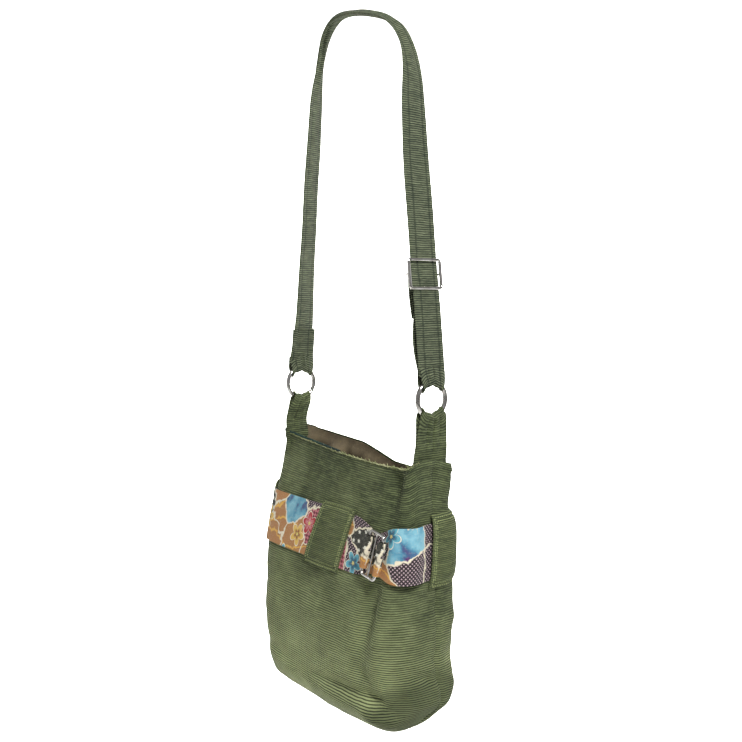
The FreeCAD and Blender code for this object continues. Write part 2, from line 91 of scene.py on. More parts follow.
def bump(value, centre, reach):
    """A bell of height 1 round a centre."""
    return np.exp(-((np.asarray(value, float) - centre) / reach) ** 2)


def rough(points, size, seed):
    """Smooth noise in -1..1 at each point of an array whose last axis is x, y, z."""
    flat = points.reshape(-1, 3) / size
    shift = Vector((seed * 7.3, seed * 3.1, seed * 5.7))
    values = [noise.noise(Vector(spot) + shift) for spot in flat]
    return np.array(values).reshape(points.shape[:-1])


# ---------------------------------------------------------------- meshes

def new_piece(name, vertices, faces, corners, material):
    """A mesh object; corners holds the cloth coordinates of every face corner in turn."""
    mesh = bpy.data.meshes.new(name)
    mesh.from_pydata([tuple(v) for v in vertices], [], faces)
    layer = mesh.uv_layers.new(name="weave")
    layer.data.foreach_set("uv", np.asarray(corners, np.float32).ravel())
    mesh.materials.append(material)
    mesh.shade_smooth()
    piece = bpy.data.objects.new(name, mesh)
    bpy.context.scene.collection.objects.link(piece)
    return piece


def settle(piece):
    """Make the modifiers' result the piece's own mesh."""
    graph = bpy.context.evaluated_depsgraph_get()
    mesh = bpy.data.meshes.new_from_object(piece.evaluated_get(graph))
    piece.modifiers.clear()
    piece.data = mesh


def grid_piece(name, points, u, v, material, outward=1, wrap=False, caps=False):
    """A mesh from rows and columns of points; u and v are the cloth coordinates of rows and columns."""
    rows, columns = points.shape[:2]
    faces, corners = [], []
    for r in range(rows - 1):
        for c in range(columns if wrap else columns - 1):
            after = (c + 1) % columns
            face = [r * columns + c, r * columns + after,
                    (r + 1) * columns + after, (r + 1) * columns + c]
            spots = [(u[r], v[c]), (u[r], v[c + 1]), (u[r + 1], v[c + 1]), (u[r + 1], v[c])]
            faces.append(face[::outward])
            corners += spots[::outward]
    if caps:
        for r in (0, rows - 1):
            ring = [r * columns + c for c in range(columns)]
            way = outward if r else -outward
            faces.append(ring[::-way])
            corners += [(u[r], v[c]) for c in range(columns)][::-way]
    return new_piece(name, points.reshape(-1, 3), faces, corners, material)


def thicken(piece, thickness, offset=-1.0):
    """Give a sheet its thickness, shaded smooth but sharp where its faces meet at over 50 degrees."""
    solid = piece.modifiers.new("thickness", "SOLIDIFY")
    solid.thickness = thickness
    solid.offset = offset
    settle(piece)
    piece.data.set_sharp_from_angle(angle=math.radians(50))


def grid_normals(points):
    """Unit normals of a grid of points, pointing to the side that its rows and columns turn from."""
    down = np.gradient(points, axis=0)
    across = np.gradient(points, axis=1)
    normals = np.cross(down, across)
    lengths = np.linalg.norm(normals, axis=-1, keepdims=True)
    return normals / np.maximum(lengths, 1e-12)


def run_of(points):
    """Length along a line of points, at each point."""
    steps = np.linalg.norm(np.diff(points, axis=0), axis=1)
    return np.concatenate([[0.0], np.cumsum(steps)])


def curve_through(controls, step):
    """A smooth line through control rows, at even steps; extra columns are carried along."""
    rows = np.array(controls, float)
    padded = np.vstack([2 * rows[0] - rows[1], rows, 2 * rows[-1] - rows[-2]])
    fine = []
    for i in range(1, len(padded) - 2):
        before, start, end, after = padded[i - 1:i + 3]
        for t in np.linspace(0, 1, 24, endpoint=False):
            fine.append(0.5 * (2 * start + (end - before) * t
                               + (2 * before - 5 * start + 4 * end - after) * t ** 2
                               + (3 * start - before - 3 * end + after) * t ** 3))
    fine.append(padded[-2])
    fine = np.array(fine)
    run = run_of(fine[:, :3])
    count = max(3, int(round(run[-1] / step)) + 1)
    even = np.linspace(0, run[-1], count)
    return np.stack([np.interp(even, run, fine[:, k]) for k in range(fine.shape[1])], axis=1)


def strap_section(half_width, thickness):
    """Across and out offsets round a flat strap: rounded edges and a shallow dip at each seam."""
    across = np.sin(np.linspace(-math.pi / 2, math.pi / 2, 25))
    out = thickness / 2 * (1 - np.abs(across) ** 14) ** 0.5
    seam = np.abs(across) * half_width - (half_width - SEAM_INSET)
    out = out - 0.3 * thickness * np.exp(-(seam / (1.2 * MM)) ** 2)
    out[0] = out[-1] = 0.0
    return (np.concatenate([across, across[-2:0:-1]]),
            np.concatenate([out, -out[-2:0:-1]]))


def ribbon(name, centres, sideways, half_width, material, thickness=STRAP_THICK, pleat=None):
    """A flat strap swept along a line of centres; pleat(along, across) lifts its two faces together."""
    centres = np.asarray(centres, float)
    sideways = np.asarray(sideways, float)
    sideways = sideways / np.linalg.norm(sideways, axis=1, keepdims=True)
    tangents = np.gradient(centres, axis=0)
    normals = np.cross(tangents, sideways)
    normals /= np.linalg.norm(normals, axis=1, keepdims=True)
    half = np.broadcast_to(np.asarray(half_width, float), (len(centres),))
    widest = float(half.max())
    across, out = strap_section(widest, thickness)
    along = run_of(centres)
    lift = np.zeros((len(centres), len(across)))
    if pleat is not None:
        lift = pleat(along[:, None], across[None, :])
    points = (centres[:, None, :] + sideways[:, None, :] * (half[:, None] * across[None, :])[..., None]
              + normals[:, None, :] * (out[None, :] + lift)[..., None])
    v = run_of(np.stack([across * widest, out, 0 * out], axis=1))
    v = np.append(v, v[-1] + (v[1] - v[0]))
    return grid_piece(name, points, along, v, material, wrap=True, caps=True)


def tube(name, centres, radius, material, closed=False, sides=16):
    """A round wire along a line of centres."""
    centres = np.asarray(centres, float)
    count = len(centres)
    if closed:
        tangents = np.roll(centres, -1, axis=0) - np.roll(centres, 1, axis=0)
    else:
        tangents = np.gradient(centres, axis=0)
    tangents /= np.linalg.norm(tangents, axis=1, keepdims=True)
    first = np.cross(tangents[0], (0.31, 0.87, 0.39))
    normals = [first / np.linalg.norm(first)]
    for tangent in tangents[1:]:
        turned = normals[-1] - tangent * (normals[-1] @ tangent)
        normals.append(turned / np.linalg.norm(turned))
    normals = np.array(normals)
    if closed:
        back = normals[-1] - tangents[0] * (normals[-1] @ tangents[0])
        back /= np.linalg.norm(back)
        other = np.cross(tangents[0], normals[0])
        slip = math.atan2(back @ other, back @ normals[0])
        angles = -slip * np.arange(count) / count
        others = np.cross(tangents, normals)
        normals = normals * np.cos(angles)[:, None] + others * np.sin(angles)[:, None]
    others = np.cross(tangents, normals)
    turn = np.linspace(0, 2 * math.pi, sides, endpoint=False)
    points = (centres[:, None, :] + radius * (np.cos(turn)[None, :, None] * normals[:, None, :]
                                              + np.sin(turn)[None, :, None] * others[:, None, :]))
    u = run_of(centres)
    v = np.linspace(0, 2 * math.pi * radius, sides + 1)
    if closed:
        points = np.concatenate([points, points[:1]])
        u = np.append(u, u[-1] + (u[1] - u[0]))
    piece = grid_piece(name, points, u, v, material, outward=-1, wrap=True, caps=not closed)
    if closed:
        weld(piece)
    return piece


def weld(piece):
    """Join vertices that lie on each other."""
    mesh = bmesh.new()
    mesh.from_mesh(piece.data)
    bmesh.ops.remove_doubles(mesh, verts=mesh.verts, dist=1e-6)
    mesh.to_mesh(piece.data)
    mesh.free()


def threads(name, starts, ends, radius, material, sides=6):
    """Many short round threads, each a thin spindle from its start to its end."""
    shares = (0.0, 0.18, 0.5, 0.82, 1.0)
    swell = (0.25, 0.9, 1.0, 0.9, 0.25)
    vertices, faces, corners = [], [], []
    for number, (start, end) in enumerate(zip(starts, ends)):
        start, end = Vector(start), Vector(end)
        way = end - start
        side = way.orthogonal().normalized()
        other = way.normalized().cross(side)
        base = len(vertices)
        for share, wide in zip(shares, swell):
            for k in range(sides):
                turn = 2 * math.pi * k / sides
                vertices.append(start + way * share
                                + (side * math.cos(turn) + other * math.sin(turn)) * radius * wide)
        for r in range(len(shares) - 1):
            for k in range(sides):
                after = (k + 1) % sides
                faces.append((base + r * sides + k, base + r * sides + after,
                              base + (r + 1) * sides + after, base + (r + 1) * sides + k))
                corners += [(number * 0.01 + shares[r] * way.length, k * radius)] * 4
        for r, way_round in ((0, -1), (len(shares) - 1, 1)):
            faces.append([base + r * sides + k for k in range(sides)][::way_round])
            corners += [(number * 0.01, 0.0)] * sides
    return new_piece(name, vertices, faces, corners, material)


def stitched(name, lines, material, stitch=2.5 * MM, gap=1.0 * MM, radius=0.28 * MM):
    """Rows of stitches laid along lines of surface points."""
    starts, ends = [], []
    for line in lines:
        line = np.asarray(line, float)
        run = run_of(line)
        place = gap
        while place + stitch < run[-1]:
            ends_of = [[np.interp(spot, run, line[:, k]) for k in range(3)]
                       for spot in (place, place + stitch)]
            starts.append(ends_of[0])
            ends.append(ends_of[1])
            place += stitch + gap
    return threads(name, starts, ends, radius, material)


# ---------------------------------------------------------------- materials

class Field:
    """A shader value that varies over a surface; arithmetic on it adds math nodes."""

    def __init__(self, socket):
        self.socket = socket

    def __add__(self, other):
        return maths("ADD", self, other)

    def __sub__(self, other):
        return maths("SUBTRACT", self, other)

    def __rsub__(self, other):
        return maths("SUBTRACT", other, self)

    def __mul__(self, other):
        return maths("MULTIPLY", self, other)

    def __truediv__(self, other):
        return maths("DIVIDE", self, other)


def add(kind, inputs, **settings):
    """A shader node in the tree of the fields among its inputs, which are linked; other inputs are set."""
    tree = next(value.socket.id_data for value in inputs.values() if isinstance(value, Field))
    item = tree.nodes.new(kind)
    for name, value in settings.items():
        setattr(item, name, value)
    for key, value in inputs.items():
        if isinstance(value, Field):
            tree.links.new(value.socket, item.inputs[key])
        else:
            item.inputs[key].default_value = value
    return item


def maths(operation, *values):
    """The result of one math node."""
    return Field(add("ShaderNodeMath", dict(enumerate(values)), operation=operation).outputs[0])


def blend(share, first, second):
    """The result of mixing two colours: a mix node's inputs 6 and 7, and its output 2."""
    return Field(add("ShaderNodeMix", {0: share, 6: first, 7: second}, data_type="RGBA").outputs[2])


def linear(red, green, blue):
    """Scene-linear opaque colour from screen values of 0 to 255."""
    parts = [((c / 255 + 0.055) / 1.055) ** 2.4 if c > 10 else c / 255 / 12.92 for c in (red, green, blue)]
    return (*parts, 1.0)


def spread(value, low, high):
    """Value mapped from low..high to 0..1 and clamped."""
    return Field(add("ShaderNodeMapRange", {"Value": value, "From Min": low, "From Max": high}).outputs[0])


def below(value, edge, soft):
    """1 where a value is under an edge, 0 where it is over it."""
    return spread(value, edge + soft, edge - soft)


def ripple(value, pitch):
    """A sine wave along a value, one wave to a pitch."""
    return maths("SINE", value * (2 * math.pi / pitch))


def joined(x, y):
    """A vector from two fields."""
    return Field(add("ShaderNodeCombineXYZ", {0: x, 1: y}).outputs[0])


def parts_of(value, kind="ShaderNodeSeparateXYZ"):
    """The three parts of a vector, or of a colour."""
    return [Field(socket) for socket in add(kind, {0: value}).outputs]


def noise_at(vector, scale, detail=3.0, roughness=0.55):
    """Soft noise around 0.5."""
    inputs = {"Vector": vector, "Scale": scale, "Detail": detail, "Roughness": roughness}
    return Field(add("ShaderNodeTexNoise", inputs).outputs[0])


def cells_at(vector, scale, feature="F1", randomness=0.8):
    """Scattered cells in two dimensions: a dictionary of the texture's outputs."""
    item = add("ShaderNodeTexVoronoi", {"Vector": vector, "Scale": scale, "Randomness": randomness},
               voronoi_dimensions="2D", feature=feature)
    return {socket.name: Field(socket) for socket in item.outputs}


def from_middle(vector, cells):
    """How far across and along a place lies from the middle of its cell."""
    away = add("ShaderNodeVectorMath", {0: vector, 1: cells["Position"]}, operation="SUBTRACT")
    return parts_of(Field(away.outputs[0]))[:2]


def petals(across, along, count, turn):
    """Distance from a flower's middle, drawn in by a wave so that it has petals."""
    radius = maths("SQRT", across * across + along * along)
    angle = maths("ARCTAN2", along, across) + turn
    wave = maths("ABSOLUTE", maths("COSINE", angle * (count / 2)))
    return radius / (wave * 0.55 + 0.45)


def new_material(name):
    """An empty node material with its shader, its cloth coordinates and its place in space."""
    material = bpy.data.materials.new(name)
    material.use_nodes = True
    nodes = material.node_tree.nodes
    weave = nodes.new("ShaderNodeUVMap")
    weave.uv_map = "weave"
    u, v, _ = parts_of(Field(weave.outputs[0]))
    place = Field(nodes.new("ShaderNodeTexCoord").outputs["Object"])
    return material, nodes["Principled BSDF"], u, v, place


def finish_surface(shader, colour, roughness, height, depth, strength=1.0):
    """Link colour, roughness and bump height; depth is the height's real size in metres."""
    lumps = add("ShaderNodeBump", {"Height": height, "Distance": depth, "Strength": strength})
    normal = Field(lumps.outputs[0])
    for name, value in (("Base Color", colour), ("Roughness", roughness), ("Normal", normal)):
        shader.id_data.links.new(value.socket, shader.inputs[name])


def sewn_line(u, v, patches, inset):
    """Where a line of stitches, a little uneven, is pressed into a strap at an inset from each edge."""
    from_edge = maths("PINGPONG", v, STRAP_HALF + 1 * MM)
    drift = (patches - 0.5) * (5 * MM)
    off_seam = maths("ABSOLUTE", from_edge + drift - inset)
    return below(off_seam, 1.2 * MM, 0.5 * MM) * spread(ripple(u, 3.2 * MM), -2.6, 0.2)


def ribbed_cloth(name, light, body, groove_shade, paler_tone, rib=RIB, seam_inset=None, calm=0.0):
    """Ribbed cloth: pale raised ribs of uneven yarn, grooves darkened with painted shade, paler patches and
    slubs.

    The cloth grows paler downwards, but not at the near side, and painted shade darkens it at the base.  Near
    the rim the grooves' painted shade is weaker by the share calm.  A strap's cloth has a sewn line at
    seam_inset from each edge, darkened with the same painted shade.
    """
    material, shader, u, v, place = new_material(name)
    wobble = noise_at(joined(u * 30, v * 45), 1.0)
    ribs = u / rib + wobble * 0.9
    raised = spread(ripple(ribs, 1.0), -0.8, 0.55)
    number = maths("FLOOR", ribs + 0.25)
    streak = noise_at(joined(number * 3.7, v * 38), 1.0, 4.0, 0.7)
    slub = noise_at(joined(u * 900, v * 130), 1.0)
    patches = noise_at(place, 9.0, 4.0, 0.6)
    cloth = blend(spread(streak + slub * 0.35, 0.5, 0.9), body, light)

    right, _, up = parts_of(place)
    lower = spread(up, level(200), level(330))
    near_side = maths("MAXIMUM", right - 80 * MM, 0.0)
    # The cloth turns paler in random patches and towards the bottom, but not at the near side.
    paler_share = spread(patches, 0.45, 0.7) * 0.35 + (lower * 0.68 - near_side * 3.5)
    cloth = blend(paler_share, cloth, paler_tone)
    # Painted shade at the base: the cloth darkens towards its body colour at the bottom, reaching higher at
    # the near side.
    base_shade = spread(up - near_side * 1.2, level(382), level(408))
    cloth = blend(base_shade * 0.6, cloth, body)

    # Painted shade in the grooves between ribs, patchy in strength and weaker in the upper part by calm.
    uneven_groove_shade = spread(patches + streak * 0.5, 1.0, 0.6)
    share = (1.0 - raised) * ((uneven_groove_shade * 0.25 + 0.7) * (lower * calm + (1 - calm)))
    if seam_inset is not None:
        sewn = sewn_line(u, v, patches, seam_inset)
        # The sewn line is darkened with the same painted shade as the grooves.
        share = maths("MAXIMUM", share, sewn * 0.7)
        raised = raised * (1.0 - sewn)
    height = raised + slub * 0.5 + ripple(v, 0.75 * MM) * 0.12
    finish_surface(shader, blend(share, cloth, groove_shade), spread(slub, -1.2, 0.9), height, 0.35 * MM)
    shader.inputs["Sheen Weight"].default_value = 0.03
    shader.inputs["Sheen Roughness"].default_value = 0.6
    shader.inputs["Specular IOR Level"].default_value = 0.12
    return material


def square_weave(u, v, pitch):
    """Height of a fine plain weave."""
    return ripple(u, pitch) * ripple(v, pitch)


def plain_weave(name, light, dark):
    """Plain woven lining: a fine square weave with creased, worn patches."""
    material, shader, u, v, place = new_material(name)
    patches = noise_at(place, 22.0, 5.0, 0.6)
    speckle = noise_at(place, 900.0, 2.0)
    colour = blend(spread(patches * 0.8 + speckle * 0.35, 0.35, 0.85), dark, light)
    finish_surface(shader, colour, spread(speckle, -1.5, 0.8), square_weave(u, v, 0.9 * MM), 0.12 * MM, 0.6)
    return material


def sewing_thread(name, light, dark):
    """Twisted thread."""
    material, shader, u, v, place = new_material(name)
    twist = ripple(u + v * 2, 0.6 * MM)
    tone = noise_at(place, 60.0)
    colour = blend(spread(twist, -1, 1) * spread(tone, 0.3, 0.6), dark, light)
    finish_surface(shader, colour, spread(tone, -1.5, 0.7), twist, 0.05 * MM)
    return material


def nickel(name):
    """Plated wire: clear reflections, fine scuffs and a little tarnish."""
    material, shader, u, v, place = new_material(name)
    scuffs = noise_at(joined(u * 90, v * 900), 1.0)
    tarnish = noise_at(place, 70.0, 4.0)
    colour = blend(spread(tarnish, 0.4, 0.75), linear(224, 222, 218), linear(164, 159, 151))
    finish_surface(shader, colour, spread(scuffs + tarnish * 0.5, 0.4, 3.2), scuffs, 0.02 * MM, 0.4)
    shader.inputs["Metallic"].default_value = 1.0
    return material


def dotted_grounds(u, v, size):
    """Maroon cloth with pale dots and red cloth with a pale check, both set slantwise."""
    rising, falling = (v + u) / size, (v - u) / size
    dot = maths("MAXIMUM", maths("PINGPONG", rising, 0.5), maths("PINGPONG", falling, 0.5))
    maroon = blend(below(dot, 0.21, 0.04), linear(34, 15, 27), linear(208, 184, 190))
    check = ripple(rising, 2.0) * ripple(falling, 2.0)
    red = blend(spread(check, -0.15, 0.15), linear(104, 18, 38), linear(196, 116, 122))
    return maroon, red


def cloudy_grounds(bent):
    """Tan cloth with gold swirls, and blue cloth that runs into purple."""
    waves = add("ShaderNodeTexWave", {"Vector": bent, "Scale": 14.0, "Distortion": 9.0, "Detail": 0.5},
                wave_type="RINGS")
    tan = blend(spread(Field(waves.outputs["Fac"]), 0.93, 0.99), linear(178, 124, 70), linear(226, 176, 76))
    depth = noise_at(bent, 34.0, 2.0)
    blue = blend(spread(depth, 0.42, 0.6), linear(48, 124, 158), linear(132, 190, 206))
    return tan, blend(spread(depth, 0.47, 0.34), blue, linear(82, 44, 104))


def blossom_ground(flat):
    """Olive cloth with small pale blossoms."""
    small = cells_at(flat, 95.0, randomness=0.7)
    blossom = petals(*from_middle(flat, small), 5, 0.4)
    return blend(below(blossom, 2.6 * MM, 0.3 * MM), linear(40, 42, 32), linear(222, 220, 205))


def with_flowers(colour, flat):
    """A colour with scattered five-petalled flowers in red, blue and gold over it."""
    beds = cells_at(flat, 14.0)
    across, along = from_middle(flat, beds)
    kind, turn, _ = parts_of(beds["Color"], "ShaderNodeSeparateColor")
    flower = petals(across, along, 5, turn * 6.28)
    rays = maths("SINE", maths("ARCTAN2", along, across) * 40)
    streaks = below(flower, 9 * MM, 2 * MM) * spread(rays, 0.2, 0.9)
    red = blend(streaks, linear(176, 28, 44), linear(236, 200, 196))
    blue = blend(below(flower, 9 * MM, 2.5 * MM), linear(96, 172, 190), linear(38, 92, 118))
    gold = blend(below(flower, 7 * MM, 2 * MM), linear(222, 184, 92), linear(150, 96, 40))
    bloom = blend(spread(kind, 0.5, 0.501), red, blue)
    bloom = blend(spread(kind, 0.82, 0.821), bloom, gold)
    bloom = blend(below(flower, 2.6 * MM, 0.5 * MM), bloom, linear(222, 205, 120))
    colour = blend(below(flower, 15.5 * MM, 0.3 * MM), colour, linear(238, 228, 205))
    return blend(below(flower, 14.2 * MM, 0.3 * MM), colour, bloom)


def printed_cloth(name):
    """A generic patchwork print: clouds of tan, dotted maroon, check, olive and blue, with flowers."""
    material, shader, u, v, _ = new_material(name)
    flat = joined(v, u)
    warp_x = (noise_at(flat, 55.0) - 0.5) * 0.02
    warp_y = (noise_at(flat, 63.0, 2.0) - 0.5) * 0.02
    bent = joined(v + warp_x, u + warp_y)
    pick = parts_of(cells_at(bent, 21.0)["Color"], "ShaderNodeSeparateColor")[0]
    edge = cells_at(bent, 21.0, "DISTANCE_TO_EDGE")["Distance"]
    maroon, red = dotted_grounds(u, v, 5.0 * MM)
    tan, colour = cloudy_grounds(bent)
    olive = blossom_ground(flat)
    for start, ground in ((0.2, maroon), (0.5, tan), (0.64, red), (0.8, olive), (0.9, tan)):
        colour = blend(spread(pick, start - 0.002, start + 0.002), colour, ground)
    colour = blend(below(edge, 0.028, 0.012), colour, linear(232, 222, 196))
    colour = with_flowers(colour, flat)
    worn = noise_at(flat, 420.0, 3.0)
    colour = blend(spread(worn, 0.5, 0.8) * 0.22, colour, linear(235, 228, 210))
    finish_surface(shader, colour, spread(worn, -1.2, 0.9), square_weave(u, v, 0.8 * MM), 0.12 * MM, 0.5)
    shader.inputs["Sheen Weight"].default_value = 0.1
    return material


# Each ribbed cloth: rib colour, body colour, painted shade for its grooves, and the paler colour of its
# patches and lower part.
GREEN = ribbed_cloth("green_ribbed", linear(120, 130, 90), linear(70, 78, 54), linear(16, 25, 16),
                     linear(182, 192, 138), calm=0.2)
PATCH_GREEN = ribbed_cloth("green_ribbed_patch", linear(130, 138, 94), linear(84, 93, 62), linear(34, 45, 30),
                           linear(132, 141, 98), rib=2.2 * MM)
STRAP_GREEN = ribbed_cloth("green_ribbed_strap", linear(124, 131, 103), linear(78, 85, 66),
                           linear(13, 25, 22), linear(118, 125, 96), rib=2.6 * MM, seam_inset=SEAM_INSET)
LINING = plain_weave("brown_lining", linear(136, 122, 94), linear(62, 53, 39))
TEAL = plain_weave("teal_facing", linear(34, 72, 60), linear(14, 36, 34))
PRINT = printed_cloth("patch_print")
THREAD = sewing_thread("green_thread", linear(196, 204, 146), linear(128, 140, 90))
FRAY = sewing_thread("frayed_yarn", linear(220, 218, 170), linear(130, 140, 92))
METAL = nickel("nickel_wire")


# ---------------------------------------------------------------- the bag's form

LOW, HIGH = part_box("front_panel")
RIM, FOOT = HIGH.z, LOW.z
CLOTH_WIDTH = 0.342                    # across one panel, from seam to seam
PANEL_THICK = 1.7 * MM
# Height of the rim below the ring centres, in millimetres, along each panel from its left seam to its right.
FRONT_RIM = ((0.0, 62), (0.07, 66), (0.2, 71), (0.4, 75.5), (0.55, 78.5), (0.7, 80.5), (0.9, 81),
             (0.93, 70), (1.0, 69))
BACK_RIM = ((0.0, 62), (0.06, 60), (0.25, 66), (0.42, 71), (0.52, 81), (0.6, 89.5), (0.7, 91.5), (0.8, 88),
            (0.9, 79), (0.94, 75), (1.0, 69))


# How square the outline's left and right corners are, as the power of a rounded rectangle.
FRONT_CORNERS = (8.0, 4.6)
BACK_CORNERS = (4.0, 3.2)


def outer_line(places, reaches):
    """The line over scattered points that never bends outwards: pairs of place and reach."""
    line = []
    for k in np.lexsort((reaches, places)):
        spot = (places[k], reaches[k])
        while len(line) > 1:
            (a, b), (c, d) = line[-2:]
            if (d - b) * (spot[0] - a) > (spot[1] - b) * (c - a):
                break
            line.pop()
        line.append(spot)
    return np.array(line).T


def bag_levels():
    """Heights from rim to foot with the CAD panel's half width and half depth at each."""
    spots = np.array([v.co[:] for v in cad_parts["front_panel"].data.vertices])
    heights = np.append(np.arange(RIM, FOOT, -CELL), FOOT)
    width, depth = (np.interp(-heights, *outer_line(-spots[:, 2], reach))
                    for reach in (np.abs(spots[:, 0]), -spots[:, 1]))
    closed = (FOOT, width[-1] - 8 * MM, 0.0)
    return np.vstack([np.stack([heights, width, depth], axis=1), closed])


LEVELS = bag_levels()
PROFILE_RUN = run_of(np.stack([LEVELS[:, 0], LEVELS[:, 2], 0 * LEVELS[:, 0]], axis=1))


def profile(count):
    """Even steps down a panel: run, height, half width and half depth, smoothed."""
    run = np.linspace(0, PROFILE_RUN[-1], count)
    step = run[1] - run[0]
    wide = max(1, int(9 * MM / step))
    columns = [np.interp(run, PROFILE_RUN, LEVELS[:, k]) for k in range(3)]
    kernel = np.ones(2 * wide + 1) / (2 * wide + 1)
    padded = [np.pad(c, wide, mode="reflect", reflect_type="odd") for c in columns]
    smooth = [np.convolve(c, kernel, "valid") for c in padded]
    smooth[2][-1] = 0.0
    return run, smooth[0], smooth[1], smooth[2]


def contour(half_width, half_depth, squareness, shares):
    """Points at given shares of the way along half a rounded outline, from the left seam round the front."""
    turn = np.linspace(0, math.pi, 900)
    power = np.interp(-np.cos(turn), (-1, 1), squareness)
    x = -half_width * np.sign(np.cos(turn)) * np.abs(np.cos(turn)) ** (2 / power)
    y = -half_depth * np.abs(np.sin(turn)) ** (2 / power)
    run = run_of(np.stack([x, y, 0 * x], axis=1))
    return np.interp(shares * run[-1], run, x), np.interp(shares * run[-1], run, y)


def hang_forward(height):
    """How far to the front the bag's own weight carries it at a height."""
    return 7 * MM * ease(RIM - height, 0, 0.2)


def bag_form(front, rows, columns):
    """One panel's smooth form as a grid from rim to foot and from left seam to right."""
    shares = np.linspace(0, 1, columns)
    run, height, half_width, half_depth = profile(rows)
    points = np.zeros((rows, columns, 3))
    for r in range(rows):
        below_rim = (RIM - height[r]) / MM
        squareness = np.array(FRONT_CORNERS if front else BACK_CORNERS) + 3.5 * math.exp(-below_rim / 90)
        x, y = contour(half_width[r], max(half_depth[r], 0.0), squareness, shares)
        y = y if front else -y
        open_top = math.exp(-(below_rim / 60) ** 2)
        left = ease(-x, 95 * MM, 142 * MM)
        x = x - left * open_top * (11 if front else 15) * MM
        y = y * (1 - 0.36 * open_top * ease(-x, -60 * MM, 130 * MM))
        corner = ease(x, 112 * MM, 138 * MM) * ease(np.abs(y), 12 * MM, 30 * MM) * (0 if front else 1)
        x = x + corner * 7 * MM * math.exp(-((below_rim - 8) / 26) ** 2)
        x = x - ease(-x, 40 * MM, 140 * MM) * ease(below_rim, 20, 120) * 5 * MM
        x = x - ease(x, 40 * MM, 120 * MM) * ease(below_rim, 255, 325) * 7 * MM
        x = x - ease(-x, 40 * MM, 120 * MM) * ease(below_rim, 265, 325) * 7 * MM
        points[r, :, 0], points[r, :, 1] = x, y - hang_forward(height[r])
    rim = np.array(FRONT_RIM if front else BACK_RIM)
    top = level(np.interp(shares, rim[:, 0], rim[:, 1]))
    kernel = np.ones(3) / 3
    top = np.convolve(np.pad(top, 1, mode="edge"), kernel, "valid")
    follow = np.exp(-(run / (85 * MM)) ** 2)
    points[:, :, 2] = height[:, None] + follow[:, None] * (top - RIM)[None, :]
    sag_right = ease(points[..., 0], 20 * MM, 130 * MM) * ease(run, 0.2, 0.33)[:, None]
    sag_left = ease(-points[..., 0], 60 * MM, 135 * MM) * ease(run, 0.22, 0.36)[:, None]
    points[..., 2] += sag_left * 1 * MM + sag_right * 5 * MM - ease(run, 0.18, 0.33)[:, None] * 6 * MM
    return points, run, shares


# Folds of each panel: place across and down in millimetres, reach across and down, tilt in degrees, and how
# far the cloth stands out.
FRONT_FOLDS = (
    (112, 100, 11, 42, 3, -8.0),       # the hollow beside the near corner
    (131, 108, 9, 46, 0, 5.0),
    (98, 250, 12, 46, 14, -11.0),      # and its run below the belt
    (119, 256, 11, 62, 10, 6.5),
    (66, 353, 70, 7, -3, -6.0),        # the crease above the base
    (60, 374, 95, 14, -3, 4.0),
    (-60, 244, 70, 12, -10, -3.6),     # slack drawn across the flank
    (-20, 275, 80, 12, -10, 3.2),
    (96, 330, 22, 11, 24, -5.0),
    (112, 357, 26, 8, 32, -7.0),       # creases into the near bottom corner
    (100, 375, 26, 8, 16, 4.0),
    (-30, 178, 90, 26, 0, -2.5),       # drawn in under the belt
    (20, 300, 80, 46, 0, 3.0),
    (-104, 352, 40, 8, 8, -3.0),
    (60, 118, 22, 16, 0, -2.5),
    (-10, 100, 40, 14, 6, 1.5),
)
BACK_FOLDS = (
    (112, 120, 10, 30, 0, -6.0),
    (122, 200, 8, 40, 0, 3.0),
    (-40, 96, 60, 18, -4, 2.0),
    (70, 110, 34, 20, 4, 4.0),
    (10, 180, 90, 26, 0, -2.5),
    (-60, 350, 60, 7, 3, -5.0),
    (50, 356, 50, 6, -4, -4.0),
    (0, 376, 100, 15, 0, 4.0),
)
SIDE_FOLDS = (
    (-14, 112, 10, 9, 20, 1.6),
    (16, 128, 12, 7, -15, -2.4),
    (18, 100, 10, 10, 0, 2.0),
    (-20, 240, 14, 12, 30, -2.0),
    (24, 262, 14, 10, -20, 3.0),
    (20, 306, 12, 12, 10, -3.2),
    (-22, 330, 26, 7, 25, -5.0),       # the boxed corner's crease
    (30, 345, 16, 9, -20, 4.0),
    (-10, 366, 36, 12, 8, 3.0),
)


def fold_sum(across, drop, folds):
    """How far folds push the cloth out, at arrays of places across and down in millimetres."""
    total = np.zeros_like(across)
    for centre_x, centre_drop, reach_x, reach_drop, tilt, push in folds:
        turn = math.radians(tilt)
        dx, dz = across - centre_x, drop - centre_drop
        along = dx * math.cos(turn) + dz * math.sin(turn)
        over = -dx * math.sin(turn) + dz * math.cos(turn)
        total += push * np.exp(-(along / reach_x) ** 2 - (over / reach_drop) ** 2)
    return total


def seam_line(run):
    """How far the side seam drifts to the back on its way down, in metres."""
    return 2 * MM + 10 * MM * ease(run, 0.05, 0.2) + 14 * MM * ease(run, 0.24, 0.31)


